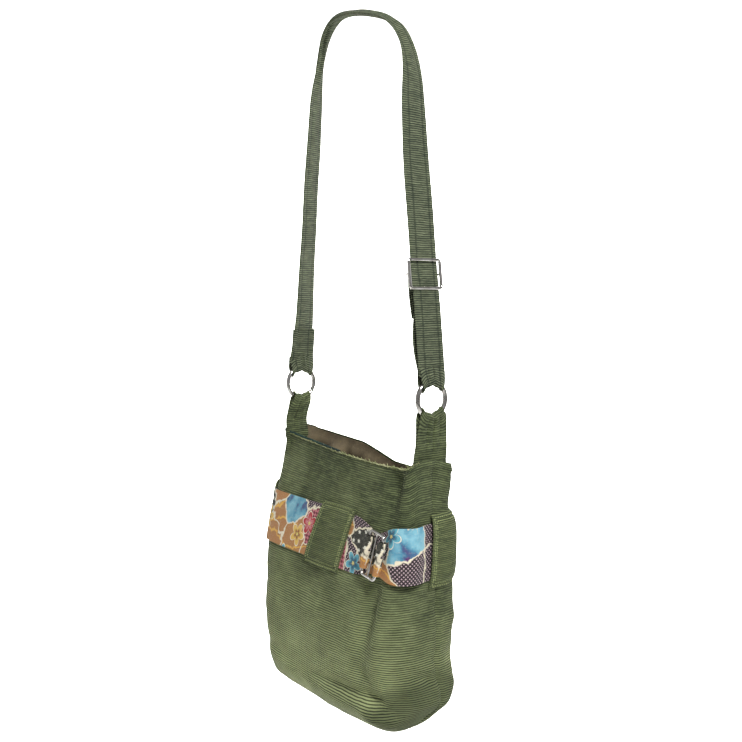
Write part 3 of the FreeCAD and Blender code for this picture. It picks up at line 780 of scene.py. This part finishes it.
def bag_surface(front, rows, columns):
    """One panel with its folds, puckered seams and small unevenness."""
    points, run, shares = bag_form(front, rows, columns)
    outward = grid_normals(points) * (1 if front else -1)
    drop = (RING.z - points[..., 2]) / MM
    across, deep = points[..., 0] / MM, points[..., 1] / MM
    facing = np.abs(outward[..., 1])
    push = fold_sum(across, drop, FRONT_FOLDS if front else BACK_FOLDS) * ease(facing, 0.2, 0.7)
    side = np.abs(outward[..., 0]) * ease(np.abs(across), 110, 136)
    push = push + fold_sum(deep, drop, SIDE_FOLDS) * side
    push = push + 1.6 * rough(points, 60 * MM, 1) + 0.7 * rough(points * (1, 1, 1.6), 21 * MM, 2)
    to_seam = np.minimum(shares, 1 - shares)[None, :] * CLOTH_WIDTH / MM
    pucker = np.sin(run / MM / 4.3)[:, None] * 0.8 + 1.3 * np.sin(run / MM / 11.0 + 1.2)[:, None]
    push = push + pucker * np.exp(-to_seam / 12) - 2.4 * np.exp(-(to_seam / 1.6) ** 2)
    still = ease(run, 0, 10 * MM)[:, None]
    push = push * (0.35 + 0.65 * still) * ease(run[-1] - run, 0, 16 * MM)[:, None]
    flat = 1 - bump(drop, 177, 34) * (push > 0)
    push = push * flat
    hem = 1 - ease(run, 9 * MM, 10.5 * MM)[:, None]
    push = push + 2.4 * hem * ease(np.abs(across), 122, 134)
    moved = points + outward * (push * MM)[..., None]
    seam = points[:, :1, 1]
    half_depth = np.maximum(np.abs(points[..., 1] - seam).max(axis=1), 1 * MM)[:, None]
    drift = seam_line(run)[:, None] * np.clip(1 - ((points[..., 1] - seam) / half_depth) ** 2, 0, 1)
    moved[..., 1] += drift * ease(np.abs(points[..., 0]), 0.82 * HIGH.x, 0.97 * HIGH.x)
    return moved, run, shares


def make_panel(front):
    """One outer panel of the bag; returns the grid of its outer surface."""
    name = "front_panel" if front else "back_panel"
    rows, columns = int(PROFILE_RUN[-1] / CELL) + 1, int(CLOTH_WIDTH / CELL) + 1
    points, run, shares = bag_surface(front, rows, columns)
    way = -1 if front else 1
    piece = grid_piece(f"{name}_cloth", points, run, shares * CLOTH_WIDTH, GREEN, outward=way)
    thicken(piece, PANEL_THICK)
    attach(piece, "bag")
    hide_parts(name)
    return points


def make_lining(front):
    """One lining, behind its panel at the rim and gathered in upright folds below the mouth."""
    name = "lining_front" if front else "lining_back"
    rows, columns = 80, 120
    panel, run, shares = bag_surface(front, rows, columns)
    form, _, _ = bag_form(front, rows, columns)
    way = -1 if front else 1
    at_rim = panel + grid_normals(panel) * way * (PANEL_THICK + 0.6 * MM)
    at_rim[..., 2] -= 1.0 * MM
    side = at_rim[..., 0]
    at_rim[..., 0] = side - np.sign(side) * 6.4 * MM * ease(np.abs(side), 120 * MM, 134 * MM)
    place = shares[None, :] * 2 * math.pi
    folds = np.sin(place * 4 + 0.6) + 0.8 * np.sin(place * 7 + 2.0)
    folds = folds + 0.5 * np.sin(place * 11 + run[:, None] * 30)
    low = ease(run[-1] - run, 0, 40 * MM)[:, None]
    hollow = np.maximum(((panel - form) * grid_normals(form) * way).sum(axis=-1), 0.0)
    mouth = bump(run, 26 * MM, 24 * MM)[:, None]
    depth = 10.5 * MM + 4 * MM * mouth + (2.2 * MM * folds) * low * (1 + 1.3 * mouth) + hollow
    inside = form + grid_normals(form) * way * depth[..., None]
    inside[..., 2] += (1 - low) * 7 * MM
    share = ease(run, 1 * MM, 16 * MM)[:, None, None]
    points = at_rim * (1 - share) + inside * share
    points[-1, :, 1] = -hang_forward(FOOT)
    piece = grid_piece(f"{name}_cloth", points, run, shares * CLOTH_WIDTH, LINING, outward=way)
    thicken(piece, 0.7 * MM)
    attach(piece, "bag")
    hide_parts(name)


def frayed_rim(points):
    """Loose ends of yarn along the front rim."""
    starts, ends = [], []
    rim = points[0]
    run = run_of(rim)
    place = 30 * MM
    while place < 0.93 * run[-1]:
        share = place / run[-1]
        spot = np.array([np.interp(place, run, rim[:, k]) for k in range(3)])
        start = spot + np.array([0, chance.uniform(-0.5, 1.2) * MM, -0.8 * MM])
        reach = chance.choice((1.4, 2.0, 2.6, 4.2)) * MM * (0.6 + 0.7 * share)
        lean = chance.uniform(-1.4, 1.4)
        ends.append(start + reach * np.array([lean, chance.uniform(-0.8, 0.3), chance.uniform(0.1, 1.0)]))
        starts.append(start)
        place += chance.uniform(0.3, 1.5) * MM
    piece = threads("rim_fray", starts, ends, 0.42 * MM, FRAY, sides=5)
    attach(piece, "bag")


def rim_facing(points):
    """The dark edge of the facing that shows along the front rim's left half."""
    rim = points[0, 5:42].copy()
    rim[:, 2] += 1.4 * MM
    rim[:, 1] -= 0.1 * MM
    facing = tube("rim_facing", rim, 1.4 * MM, TEAL, sides=10)
    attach(facing, "bag")
    edge = points[0, 4:int(0.92 * points.shape[1])].copy()
    edge[:, 1] -= 0.5 * MM
    edge[:, 2] -= 0.8 * MM * (1 - ease(np.arange(len(edge)), 36, 42))
    edge[:, 2] += 0.35 * MM * np.sin(np.arange(len(edge)) * 1.9)
    raw_edge = tube("rim_raw_edge", edge, 0.75 * MM, FRAY, sides=10)
    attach(raw_edge, "bag")


# ---------------------------------------------------------------- the belt and its loops

BELT_TOP, BELT_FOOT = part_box("belt_band")[1].z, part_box("belt_band")[0].z
BUCKLE = middle("belt_slider_frame")
PERIMETER = 2 * CLOTH_WIDTH


def round_the_bag(heights, around):
    """Points round the bag's smooth form at heights; around runs 0 to 1 from the left seam, front first."""
    front, back = (bag_form(facing, 110, 160)[0] for facing in (True, False))
    ring = np.concatenate([front, back[:, ::-1][:, 1:-1]], axis=1)
    columns = ring.shape[1]
    place = (np.asarray(around) % 1.0) * columns
    first = np.floor(place).astype(int) % columns
    second, part = (first + 1) % columns, (place - np.floor(place))[:, None]
    result = np.zeros((len(heights), len(around), 3))
    for c, (a, b, share) in enumerate(zip(first, second, part)):
        line = ring[:, a] * (1 - share) + ring[:, b] * share
        wanted = heights[:, c] if heights.ndim == 2 else heights
        falling = line[:70]
        for k in range(3):
            result[:, c, k] = np.interp(-wanted, -falling[:, 2], falling[:, k])
    return result


def stand_off(points, amount):
    """Move a grid of points outwards, level, by an amount for each."""
    outward = grid_normals(points)
    outward[..., 2] *= 0.3
    outward /= np.linalg.norm(outward, axis=-1, keepdims=True)
    return points + outward * np.asarray(amount)[..., None]


def make_belt():
    """The printed belt: pinched where it passes the slider, standing off the bag's near corner."""
    columns, rows = 420, 22
    around = np.linspace(0, 1, columns + 1)[:-1]
    middle_line = round_the_bag(np.array([BUCKLE.z]), around)[0]
    x, y = middle_line[:, 0], middle_line[:, 1]
    on_front = ease(-y, 20 * MM, 36 * MM)
    pinch = on_front * bump(x, BUCKLE.x - 2 * MM, 20 * MM)
    dip = on_front * ease(x, 30 * MM, 84 * MM) * bump(x, 84 * MM, 40 * MM)
    top = BELT_TOP - pinch * 9 * MM - dip * 4 * MM
    foot = BELT_FOOT + pinch * 7 * MM
    heights = top[None, :] + (foot - top)[None, :] * np.linspace(0, 1, rows)[:, None]
    points = round_the_bag(heights, around)
    corner = ease(x, 112 * MM, 130 * MM) * ease(-y, 8 * MM, 34 * MM) * (x > 0)
    arc = np.sin(np.linspace(0, math.pi, rows))[:, None]
    amount = 1.4 * MM + corner[None, :] * (5.5 + 2.0 * arc) * MM
    amount = amount - pinch[None, :] * 0.6 * MM
    amount = amount + (ease(np.abs(x), 80 * MM, 112 * MM) * ease(y, -4 * MM, 16 * MM))[None, :] * 2.2 * MM
    waves = np.sin(np.linspace(0, 1, rows) * 6 * math.pi + 0.7)[:, None]
    amount = amount + waves * (bump(x, BUCKLE.x - 16 * MM, 13 * MM) * on_front)[None, :] * MM
    closed = np.concatenate([points, points[:, :1]], axis=1)
    amount = np.concatenate([amount, amount[:, :1]], axis=1)
    closed = stand_off(closed, amount)
    closed[:, -1] = closed[:, 0]
    u = np.linspace(0, BELT_TOP - BELT_FOOT, rows)
    v = run_of(closed[rows // 2])
    piece = grid_piece("belt_cloth", closed, u, v, PRINT, outward=-1)
    weld(piece)
    thicken(piece, 1.0 * MM, 0.0)
    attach(piece, "bag")
    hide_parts("belt_band")


def place_around(node):
    """How far round the bag a belt loop's two edges lie."""
    low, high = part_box(node)
    around = np.linspace(0, 1, 721)[:-1]
    line = round_the_bag(np.array([BUCKLE.z]), around)[0]
    inside = ((line[:, 0] > low.x - 9 * MM) & (line[:, 0] < high.x + 9 * MM)
              & (line[:, 1] > low.y - 9 * MM) & (line[:, 1] < high.y + 9 * MM))
    if node in ("belt_loop_front", "belt_loop_back"):
        inside &= (line[:, 0] > low.x) & (line[:, 0] < high.x)
    else:
        inside &= (line[:, 1] > low.y) & (line[:, 1] < high.y) & (np.sign(line[:, 0]) == np.sign(low.x))
    found = around[inside]
    if found.max() - found.min() > 0.5:
        found = np.where(found < 0.5, found + 1, found)
    return found.min(), found.max()


def make_belt_loop(node, extra_height=0.0, bulge=3.8 * MM, skew=0.0):
    """A doubled cloth patch sewn to the bag above and below the belt; skew moves its top round the bag."""
    low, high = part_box(node)
    start, end = place_around(node)
    rows, columns = 64, 56
    heights = np.linspace(high.z + extra_height, low.z - extra_height, rows)
    down = np.linspace(-1, 1, rows)[:, None]
    side = np.linspace(-1, 1, columns)[None, :]
    reach = abs(skew) / PERIMETER
    field_around = np.linspace(start - reach, end + reach, 3 * columns)
    field = round_the_bag(heights, field_around)
    around = np.linspace(start, end, columns)
    points = np.zeros((rows, columns, 3))
    for r in range(rows):
        wanted = around - down[r] * skew / PERIMETER
        for k in range(3):
            points[r, :, k] = np.interp(wanted, field_around, field[r, :, k])
    amount = 1.4 * MM + bulge * (1 - np.abs(down) ** 5) * (1 - 0.25 * side ** 6)
    amount = amount + 0.5 * MM * np.sin(side * 4 + down * 2)
    width = run_of(points[rows // 2])
    from_side = np.minimum(width, width[-1] - width)[None, :]
    from_end = np.minimum(heights[0] - heights, heights - heights[-1])[:, None]
    border = np.minimum(from_side, from_end)
    amount = amount - 1.1 * MM * bump(border, 5.5 * MM, 1.3 * MM)
    points = stand_off(points, amount)
    piece = grid_piece(f"{node}_cloth", points, high.z - heights, width, PATCH_GREEN, outward=-1)
    thicken(piece, 2.4 * MM, 0.0)
    lifted = stand_off(points, np.full(points.shape[:2], 1.3 * MM))
    lines = []
    for inset in (2.5 * MM, 5.5 * MM):
        c = int(np.searchsorted(width, inset))
        r = int(np.searchsorted(heights[0] - heights, inset))
        lines += [lifted[r:rows - r, c], lifted[r:rows - r, -1 - c]]
        lines += [lifted[r, c:columns - c], lifted[-1 - r, c:columns - c]]
    seams = stitched(f"{node}_seams", lines, THREAD, radius=0.45 * MM)
    for part in (piece, seams):
        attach(part, "bag")
    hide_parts(node)


def buckle_frame():
    """The slider's own axes: its centre, the way across it, up it and out of the bag."""
    low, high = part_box("belt_slider_bar")
    centre = (low + high) / 2
    centre.y -= hang_forward(centre.z)
    wire = 1.5 * MM
    lean = math.atan2(high.y - low.y - 2 * wire, high.z - low.z)
    up = Vector((0, math.sin(lean), math.cos(lean)))
    out = Vector((0, -math.cos(lean), math.sin(lean)))
    turn = math.radians(9)
    across = Vector((1, 0, 0))
    turned_across = across * math.cos(turn) - up * math.sin(turn)
    turned_up = up * math.cos(turn) + across * math.sin(turn)
    return centre, turned_across, turned_up, out


def rounded_loop(centre, across, up, width, height, corner):
    """A closed rounded rectangle of points."""
    spots = []
    for quarter, (sx, sy) in enumerate(((1, 1), (-1, 1), (-1, -1), (1, -1))):
        for t in np.linspace(0, math.pi / 2, 8):
            angle = quarter * math.pi / 2 + t
            spots.append((sx * (width / 2 - corner) + corner * math.cos(angle),
                          sy * (height / 2 - corner) + corner * math.sin(angle)))
    closed = np.array(spots + spots[:1])
    run = run_of(np.column_stack([closed, np.zeros(len(closed))]))
    even = np.linspace(0, run[-1], 120, endpoint=False)
    a, b = (np.interp(even, run, closed[:, k]) for k in range(2))
    return np.array(centre) + np.outer(a, across) + np.outer(b, up)


def rounded_bends(corners, softness):
    """A line through corners, each corner rounded off."""
    corners = np.array([c[:] for c in corners])
    run = run_of(corners)
    step = 0.4 * MM
    even = np.linspace(0, run[-1], int(run[-1] / step) + 1)
    reach = int(softness / step)
    columns = []
    for k in range(3):
        line = np.interp(even, run, corners[:, k])
        padded = np.pad(line, reach, mode="reflect", reflect_type="odd")
        columns.append(np.convolve(padded, np.ones(2 * reach + 1) / (2 * reach + 1), "valid"))
    return np.stack(columns, axis=1)[::3]


def gathered_sleeve(name, node, centre, axes, length, radius, phase):
    """Cloth gathered round a bar: a flattened tube with lengthwise creases, open at both ends."""
    across, axis, out = axes
    rows, columns = 40, 30
    turn = np.linspace(0, 2 * math.pi, columns, endpoint=False)
    share = np.linspace(-1, 1, rows)
    points = np.zeros((rows, columns, 3))
    for r, s in enumerate(share):
        crease = 1 + 0.13 * np.sin(3 * turn + 2.2 * s) + 0.09 * np.sin(7 * turn - 3 * s + 1)
        crease = crease + 0.05 * math.sin(9 * s)
        reach = radius * crease * (1 + 0.12 * math.sin(2.5 * s + phase))
        spot = np.array(centre + axis * (s * length / 2))
        points[r] = (spot + np.outer(reach * np.cos(turn), np.array(across)) * 0.95
                     + np.outer(reach * np.sin(turn), np.array(out)) * 0.85)
    steps = np.linspace(0, 2 * math.pi * radius, columns + 1)
    piece = grid_piece(name, points, share * length / 2, steps, PRINT, wrap=True)
    thicken(piece, 0.9 * MM)
    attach(piece, "belt_slider")
    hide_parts(node)


def make_buckle():
    """The belt's slider: wire frame, middle bar and the two gathers of belt on it."""
    centre, across, up, out = buckle_frame()
    width, height = 28 * MM, 56 * MM
    frame_line = rounded_loop(centre, across, up, width - 3 * MM, height - 3 * MM, 3.4 * MM)
    wire = tube("belt_slider_wire", frame_line, 1.9 * MM, METAL, closed=True)
    bar_line = [centre + up * (s * (height - 3 * MM) / 2) for s in np.linspace(-1, 1, 12)]
    bar = tube("belt_slider_middle", [b[:] for b in bar_line], 1.25 * MM, METAL)
    for piece, node in ((wire, "belt_slider_frame"), (bar, "belt_slider_bar")):
        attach(piece, "belt_slider")
        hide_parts(node)
    side = across * ((width - 3 * MM) / 2)
    axes = (across, up, out)
    gathered_sleeve("belt_sewn_gather", "belt_sewn_end", centre + side, axes, 40 * MM, 4.2 * MM, 0.0)
    gathered_sleeve("belt_passing_gather", "belt_passing_fold", centre - side, axes, 39 * MM, 4.8 * MM, 1.0)


# ---------------------------------------------------------------- rings, tabs and strap

def make_ring(node):
    """One O-ring: a closed loop of round wire."""
    centre = middle(node)
    turn = np.linspace(0, 2 * math.pi, 96, endpoint=False)
    line = np.array(centre) + RING_RADIUS * np.stack([0 * turn, np.cos(turn), np.sin(turn)], axis=1)
    piece = tube(f"{node}_wire", line, RING_WIRE, METAL, closed=True, sides=24)
    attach(piece, node)
    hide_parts(node)


LOOP_PLY = 1.3 * MM                    # one layer of the cloth that turns round a ring


def loop_grid(sign, up, half_widths, end, lean=0.0, shift=0.0, foot_inset=0.0):
    """Cloth turned round a ring's wire: a grid that runs to the wire, round it and back.

    Both of its ends lie at the distance end from the ring's centre, above it or, with up -1, below it.
    lean and shift carry the cloth aside on the way, and foot_inset moves its ends inwards.
    """
    wrap = RING_WIRE + 0.5 * MM + LOOP_PLY
    straight = np.linspace(end, RING_RADIUS, 27)[:-1]
    bend = np.linspace(math.pi, 0, 15)
    heights = np.concatenate([straight, RING_RADIUS - wrap * np.sin(bend), straight[::-1]])
    offsets = np.concatenate([0 * straight - wrap, wrap * np.cos(bend), 0 * straight + wrap])
    columns = 45
    across = np.linspace(-1, 1, columns)
    points = np.zeros((len(heights), columns, 3))
    for r, (height, offset) in enumerate(zip(heights, offsets)):
        far = max(height - RING_RADIUS, 0.0)
        half = np.interp(far, half_widths[0], half_widths[1])
        y = across * half
        near = math.exp(-(far / (13 * MM)) ** 2)
        safe = np.minimum(np.abs(y), 0.93 * RING_RADIUS)
        curve = RING_RADIUS - np.sqrt(RING_RADIUS ** 2 - safe ** 2)
        closing = math.exp(-(far / (15 * MM)) ** 2)
        out = np.sign(offset) * (LOOP_PLY / 2 + 0.05 * MM) * (1 - closing) + offset * closing
        pleats = bump(across, 0.1, 0.075) + 0.6 * bump(across, -0.35, 0.07) + 0.5 * bump(across, 0.55, 0.06)
        pleat = -4.2 * MM * pleats * math.exp(-(far / (36 * MM)) ** 2) * ease(far, 0, 4 * MM)
        gather = 0.7 * MM * np.sin(across * 8 + 1.0) * near
        inside = foot_inset * float(ease(far, 30 * MM, 52 * MM))
        points[r, :, 0] = sign * (RING.x + out + pleat - inside) + lean * (height - RING_RADIUS)
        points[r, :, 1] = y * (1 - 0.06 * near) + shift * ease(far, 0, 30 * MM)
        points[r, :, 2] = RING.z + up * (height - curve * near + gather)
    return points, across


def make_tab(node, sign, half_foot, top_half=16 * MM, shift=0.0):
    """A tab from its ring down to the bag."""
    half_widths = ([0.0, 9 * MM, 45 * MM], [top_half, 0.4 * top_half + 0.6 * half_foot, half_foot])
    points, across = loop_grid(sign, -1, half_widths, 96 * MM, shift=shift, foot_inset=2.5 * MM)
    u = run_of(points[:, points.shape[1] // 2])
    piece = grid_piece(f"{node}_cloth", points, u, across * half_foot, GREEN)
    thicken(piece, 1.3 * MM, 0.0)
    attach(piece, "bag")
    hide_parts(node)


STRAP_LINE = (                         # across, deep, above the ring centres, and twist in degrees
    (136.0, 1, 27, 0), (130.0, 1, 80, 0), (121.0, 1, 150, 0), (117.0, 1, 185, 0), (108.3, 1, 255, 0),
    (100.8, 1, 335, 7), (98.0, 1, 380, 16), (89.0, 0, 411, 16), (68.0, -1, 438, 8), (32.0, -1, 457, 0),
    (-12.0, 0, 469, -8), (-48.0, 1, 469, -16), (-74.0, 2, 454, -26), (-89.0, 3, 424, -36),
    (-98.0, 3, 385, -34), (-109.0, 3, 300, -29), (-121.0, 3, 190, -27), (-130.0, 2, 90, -20),
    (-136.0, 0, 27, -6),
)


def strap_path(step):
    """Centres, sideways directions and run of the long strap from the right ring to the left one."""
    controls = [(x * MM, y * MM, RING.z + z * MM, twist) for x, y, z, twist in STRAP_LINE]
    line = curve_through(controls, step)
    centres = line[:, :3]
    tangents = np.gradient(centres, axis=0)
    tangents /= np.linalg.norm(tangents, axis=1, keepdims=True)
    turn = np.radians(line[:, 3])
    deep = np.tile((0.0, 1.0, 0.0), (len(line), 1))
    deep = deep - tangents * (deep * tangents).sum(axis=1, keepdims=True)
    deep /= np.linalg.norm(deep, axis=1, keepdims=True)
    side = np.cross(tangents, deep)
    return centres, deep * np.cos(turn)[:, None] + side * np.sin(turn)[:, None], run_of(centres)


def make_strap():
    """The long doubled strap, pleated and narrowed where it lies over the shoulder."""
    centres, sideways, run = strap_path(2.4 * MM)
    over = ease(centres[:, 2], -0.10, -0.035)
    half = STRAP_HALF * (1.05 - 0.29 * over)

    def pleat(along, across):
        amount = np.interp(along, run, over)
        waves = (np.cos(across * 5.6 + along * 9) * 2.1 + np.sin(across * 9.5 - along * 17) * 1.1)
        slow = 0.5 * np.sin(along * 55) * (1 - 0.5 * across ** 2)
        return (waves * amount + slow) * MM

    piece = ribbon("strap_cloth", centres, sideways, half, STRAP_GREEN, pleat=pleat)
    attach(piece, "strap")
    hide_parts("strap_main")


def make_strap_loop(node, sign):
    """The strap's turn round its ring."""
    half_widths = ([0.0, 9 * MM], [16 * MM, STRAP_HALF - 0.6 * MM])
    points, across = loop_grid(sign, 1, half_widths, 38 * MM, lean=-sign * 0.05)
    u = run_of(points[:, points.shape[1] // 2])
    v = (across + 1) * STRAP_HALF + 1 * MM
    piece = grid_piece(f"{node}_cloth", points, u, v, STRAP_GREEN, outward=-1)
    thicken(piece, 1.6 * MM, 0.0)
    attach(piece, "strap")
    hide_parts(node)


def branch(start, end, bulge=0.0):
    """Centres of a ply between two points beside the strap, bowed out by bulge halfway."""
    count = max(6, int((end - start).length / (2 * MM)))
    share = np.linspace(0, 1, count)
    start, end = np.array(start), np.array(end)
    centres = start + (end - start) * share[:, None]
    along = (end - start) / np.linalg.norm(end - start)
    out = np.cross((0, 1, 0), along)
    return centres + out * (bulge * np.sin(share * math.pi))[:, None]


def level_ribbon(name, centres, **options):
    """A ply of the strap whose width lies level, from front to back."""
    sideways = np.tile((0.0, 1.0, 0.0), (len(centres), 1))
    return ribbon(name, centres, sideways, material=STRAP_GREEN, **options)


def ply_ends(node):
    """The lower and upper middle of a ply that leans along a branch of the strap."""
    low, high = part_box(node)
    thick = STRAP_THICK / 2
    if low.x > 0:
        return Vector((high.x - thick, 0, low.z)), Vector((low.x + thick, 0, high.z))
    return Vector((low.x + thick, 0, low.z)), Vector((high.x - thick, 0, high.z))


def make_plies():
    """The ply below the adjuster, the strap's folded-up left end and the sewn end round the bar."""
    foot, top = ply_ends("strap_inner_ply")
    centres = branch(foot, top + Vector((0, 0, 4 * MM)), bulge=-5 * MM)
    inner = level_ribbon("strap_inner_cloth", centres, half_width=STRAP_HALF - 0.5 * MM)
    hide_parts("strap_inner_ply")
    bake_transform(inner)

    foot, top = ply_ends("strap_folded_end")
    folded = level_ribbon("strap_folded_cloth", branch(foot, top), half_width=STRAP_HALF - 1 * MM)
    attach(folded, "strap")
    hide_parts("strap_folded_end")

    low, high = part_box("strap_end_loop")
    foot = np.array((high.x - 1.2 * MM, 2 * MM, low.z))
    bar = np.array(middle("strap_slider_bar"))
    along = (bar - foot) / np.linalg.norm(bar - foot)
    out = np.cross((0, 1, 0), along)
    route = ((foot, 0, -4.0), (foot, 16, -4.6), (foot, 34, -4.2), (bar, 0, -2.6), (bar, 2.6, 0),
             (bar, -1, 2.2), (foot, 34, 0.2), (foot, 16, -0.6), (foot, 0, -1.2))
    centres = curve_through([spot + along * a * MM + out * b * MM for spot, a, b in route], 1.6 * MM)
    end = level_ribbon("strap_end_cloth", centres, half_width=STRAP_HALF - 0.5 * MM, thickness=1.9 * MM)
    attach(end, "strap_slider")
    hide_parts("strap_end_loop")


def make_slider():
    """The strap's adjuster: a wire frame in front of the strap and its bar behind."""
    bar_mid = middle("strap_slider_bar")
    low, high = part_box("strap_slider_frame")
    lean = math.radians(7.28)
    up = Vector((-math.sin(lean), 0, math.cos(lean)))
    out = Vector((math.cos(lean), 0, math.sin(lean)))
    across = Vector((0, 1, 0))
    centre = bar_mid + out * ((high.x - low.x) - 6.2 * MM)
    width, height = 50 * MM, 36 * MM
    line = rounded_loop(centre, across, up, width - 3 * MM, height - 3 * MM, 3.2 * MM)
    wire = tube("strap_slider_wire", line, 2.0 * MM, METAL, closed=True, sides=20)
    side = across * (width / 2 - 1.5 * MM)
    elbows = (centre - side, bar_mid - side, bar_mid + side, centre + side)
    bar = tube("strap_slider_middle", rounded_bends(elbows, 2.5 * MM), 1.45 * MM, METAL)
    for piece, node in ((wire, "strap_slider_frame"), (bar, "strap_slider_bar")):
        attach(piece, "strap_slider")
        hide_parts(node)


# ---------------------------------------------------------------- studio

VIEW_TURN = math.radians(52.33)        # of the camera round the bag, from the front towards its right
VIEW_TILT = math.radians(-4.56)        # of the camera's view, downwards


def studio_surface():
    """A pale, faintly uneven studio sweep."""
    material, shader, _, _, place = new_material("studio_sweep")
    tone = noise_at(place, 3.0, 4.0)
    colour = blend(tone, linear(246, 246, 244), linear(252, 252, 251))
    finish_surface(shader, colour, spread(tone, -1.5, 1.2), tone, 0.1 * MM, 0.2)
    return material


def make_stage():
    """A pale floor that sweeps up behind the bag."""
    back = Vector((-math.sin(VIEW_TURN), math.cos(VIEW_TURN), 0))
    side = Vector((math.cos(VIEW_TURN), math.sin(VIEW_TURN), 0))
    floor = FOOT - 0.55
    start, bend, top = 1.4, 0.9, 3.2
    profile_line = [(-2.2, 0.0), (start, 0.0)]
    for turn in np.linspace(0, math.pi / 2, 12)[1:]:
        profile_line.append((start + bend * math.sin(turn), bend - bend * math.cos(turn)))
    profile_line.append((start + bend, top))
    rows = []
    for away, up in profile_line:
        rows.append([back * away + side * s + Vector((0, 0, floor + up)) for s in np.linspace(-3, 3, 9)])
    points = np.array([[p[:] for p in row] for row in rows])
    u = run_of(points[:, 0])
    sweep = grid_piece("studio_sweep", points, u, np.linspace(0, 6, 9), studio_surface())


def make_camera():
    """The camera, in front of the bag and to its right."""
    camera = bpy.data.cameras.new("camera")
    camera.sensor_width = 36.0
    camera.lens = 45.94
    camera.clip_start, camera.clip_end = 0.05, 20.0
    eye = bpy.data.objects.new("camera", camera)
    eye.location = (0.9532, -0.7191, RING.z + 0.1196)
    flat = math.cos(VIEW_TILT)
    way = Vector((-math.sin(VIEW_TURN) * flat, math.cos(VIEW_TURN) * flat, math.sin(VIEW_TILT)))
    eye.rotation_mode = "QUATERNION"
    eye.rotation_quaternion = way.to_track_quat("-Z", "Y")
    bpy.context.scene.collection.objects.link(eye)
    bpy.context.scene.camera = eye


def make_light(name, aim, turn, height, distance, size, power):
    """A soft square light aimed at a point and set round it like a camera angle."""
    light = bpy.data.lights.new(name, "AREA")
    light.energy = power
    light.size = size
    lamp = bpy.data.objects.new(name, light)
    angle = math.radians(turn)
    lamp.location = aim + Vector((math.sin(angle) * distance, -math.cos(angle) * distance, height))
    lamp.rotation_mode = "QUATERNION"
    lamp.rotation_quaternion = (aim - lamp.location).to_track_quat("-Z", "Y")
    lamp.visible_camera = False
    bpy.context.scene.collection.objects.link(lamp)


def make_studio():
    """The backdrop, the camera, three lights round the bag and two that brighten the backdrop."""
    make_stage()
    make_camera()
    bag_middle = Vector((0, 0, RING.z))
    make_light("key", bag_middle, 72, 1.4, 1.5, 0.45, 48)
    make_light("fill", bag_middle, -30, 0.2, 2.0, 1.4, 2)
    make_light("rear", bag_middle, 165, 0.7, 2.0, 1.2, 3.5)
    behind = Vector((-math.sin(VIEW_TURN) * 2.0, math.cos(VIEW_TURN) * 2.0, RING.z))
    for side in (-1, 1):
        make_light("screen", behind, math.degrees(VIEW_TURN) + side * 40, 0.0, 1.5, 1.0, 80)
    world = bpy.data.worlds.new("studio")
    world.use_nodes = True
    sky = world.node_tree.nodes["Background"]
    sky.inputs["Color"].default_value = (1.0, 1.0, 1.0, 1.0)
    sky.inputs["Strength"].default_value = 0.27
    scene = bpy.context.scene
    scene.world = world
    scene.view_settings.view_transform = "Standard"
    scene.view_settings.look = "None"


def make_bag():
    """The panels, the linings, the rim's edges and the belt with its loops and slider."""
    points = make_panel(True)
    make_panel(False)
    make_lining(True)
    make_lining(False)
    frayed_rim(points)
    rim_facing(points)
    make_belt()
    make_belt_loop("belt_loop_front", skew=9 * MM)
    make_belt_loop("belt_loop_back", skew=-4 * MM)
    make_belt_loop("belt_loop_right", extra_height=3 * MM, bulge=7 * MM)
    make_belt_loop("belt_loop_left", extra_height=3 * MM, bulge=7 * MM)
    make_buckle()


def make_hanging():
    """The rings, their tabs and the strap with its adjuster."""
    make_ring("ring_right")
    make_ring("ring_left")
    make_tab("tab_right", 1, 24.5 * MM)
    make_tab("tab_left", -1, 17 * MM, top_half=13 * MM, shift=-8 * MM)
    make_strap()
    make_strap_loop("strap_loop_right", 1)
    make_strap_loop("strap_loop_left", -1)
    make_plies()
    make_slider()


make_bag()
make_hanging()
make_studio()
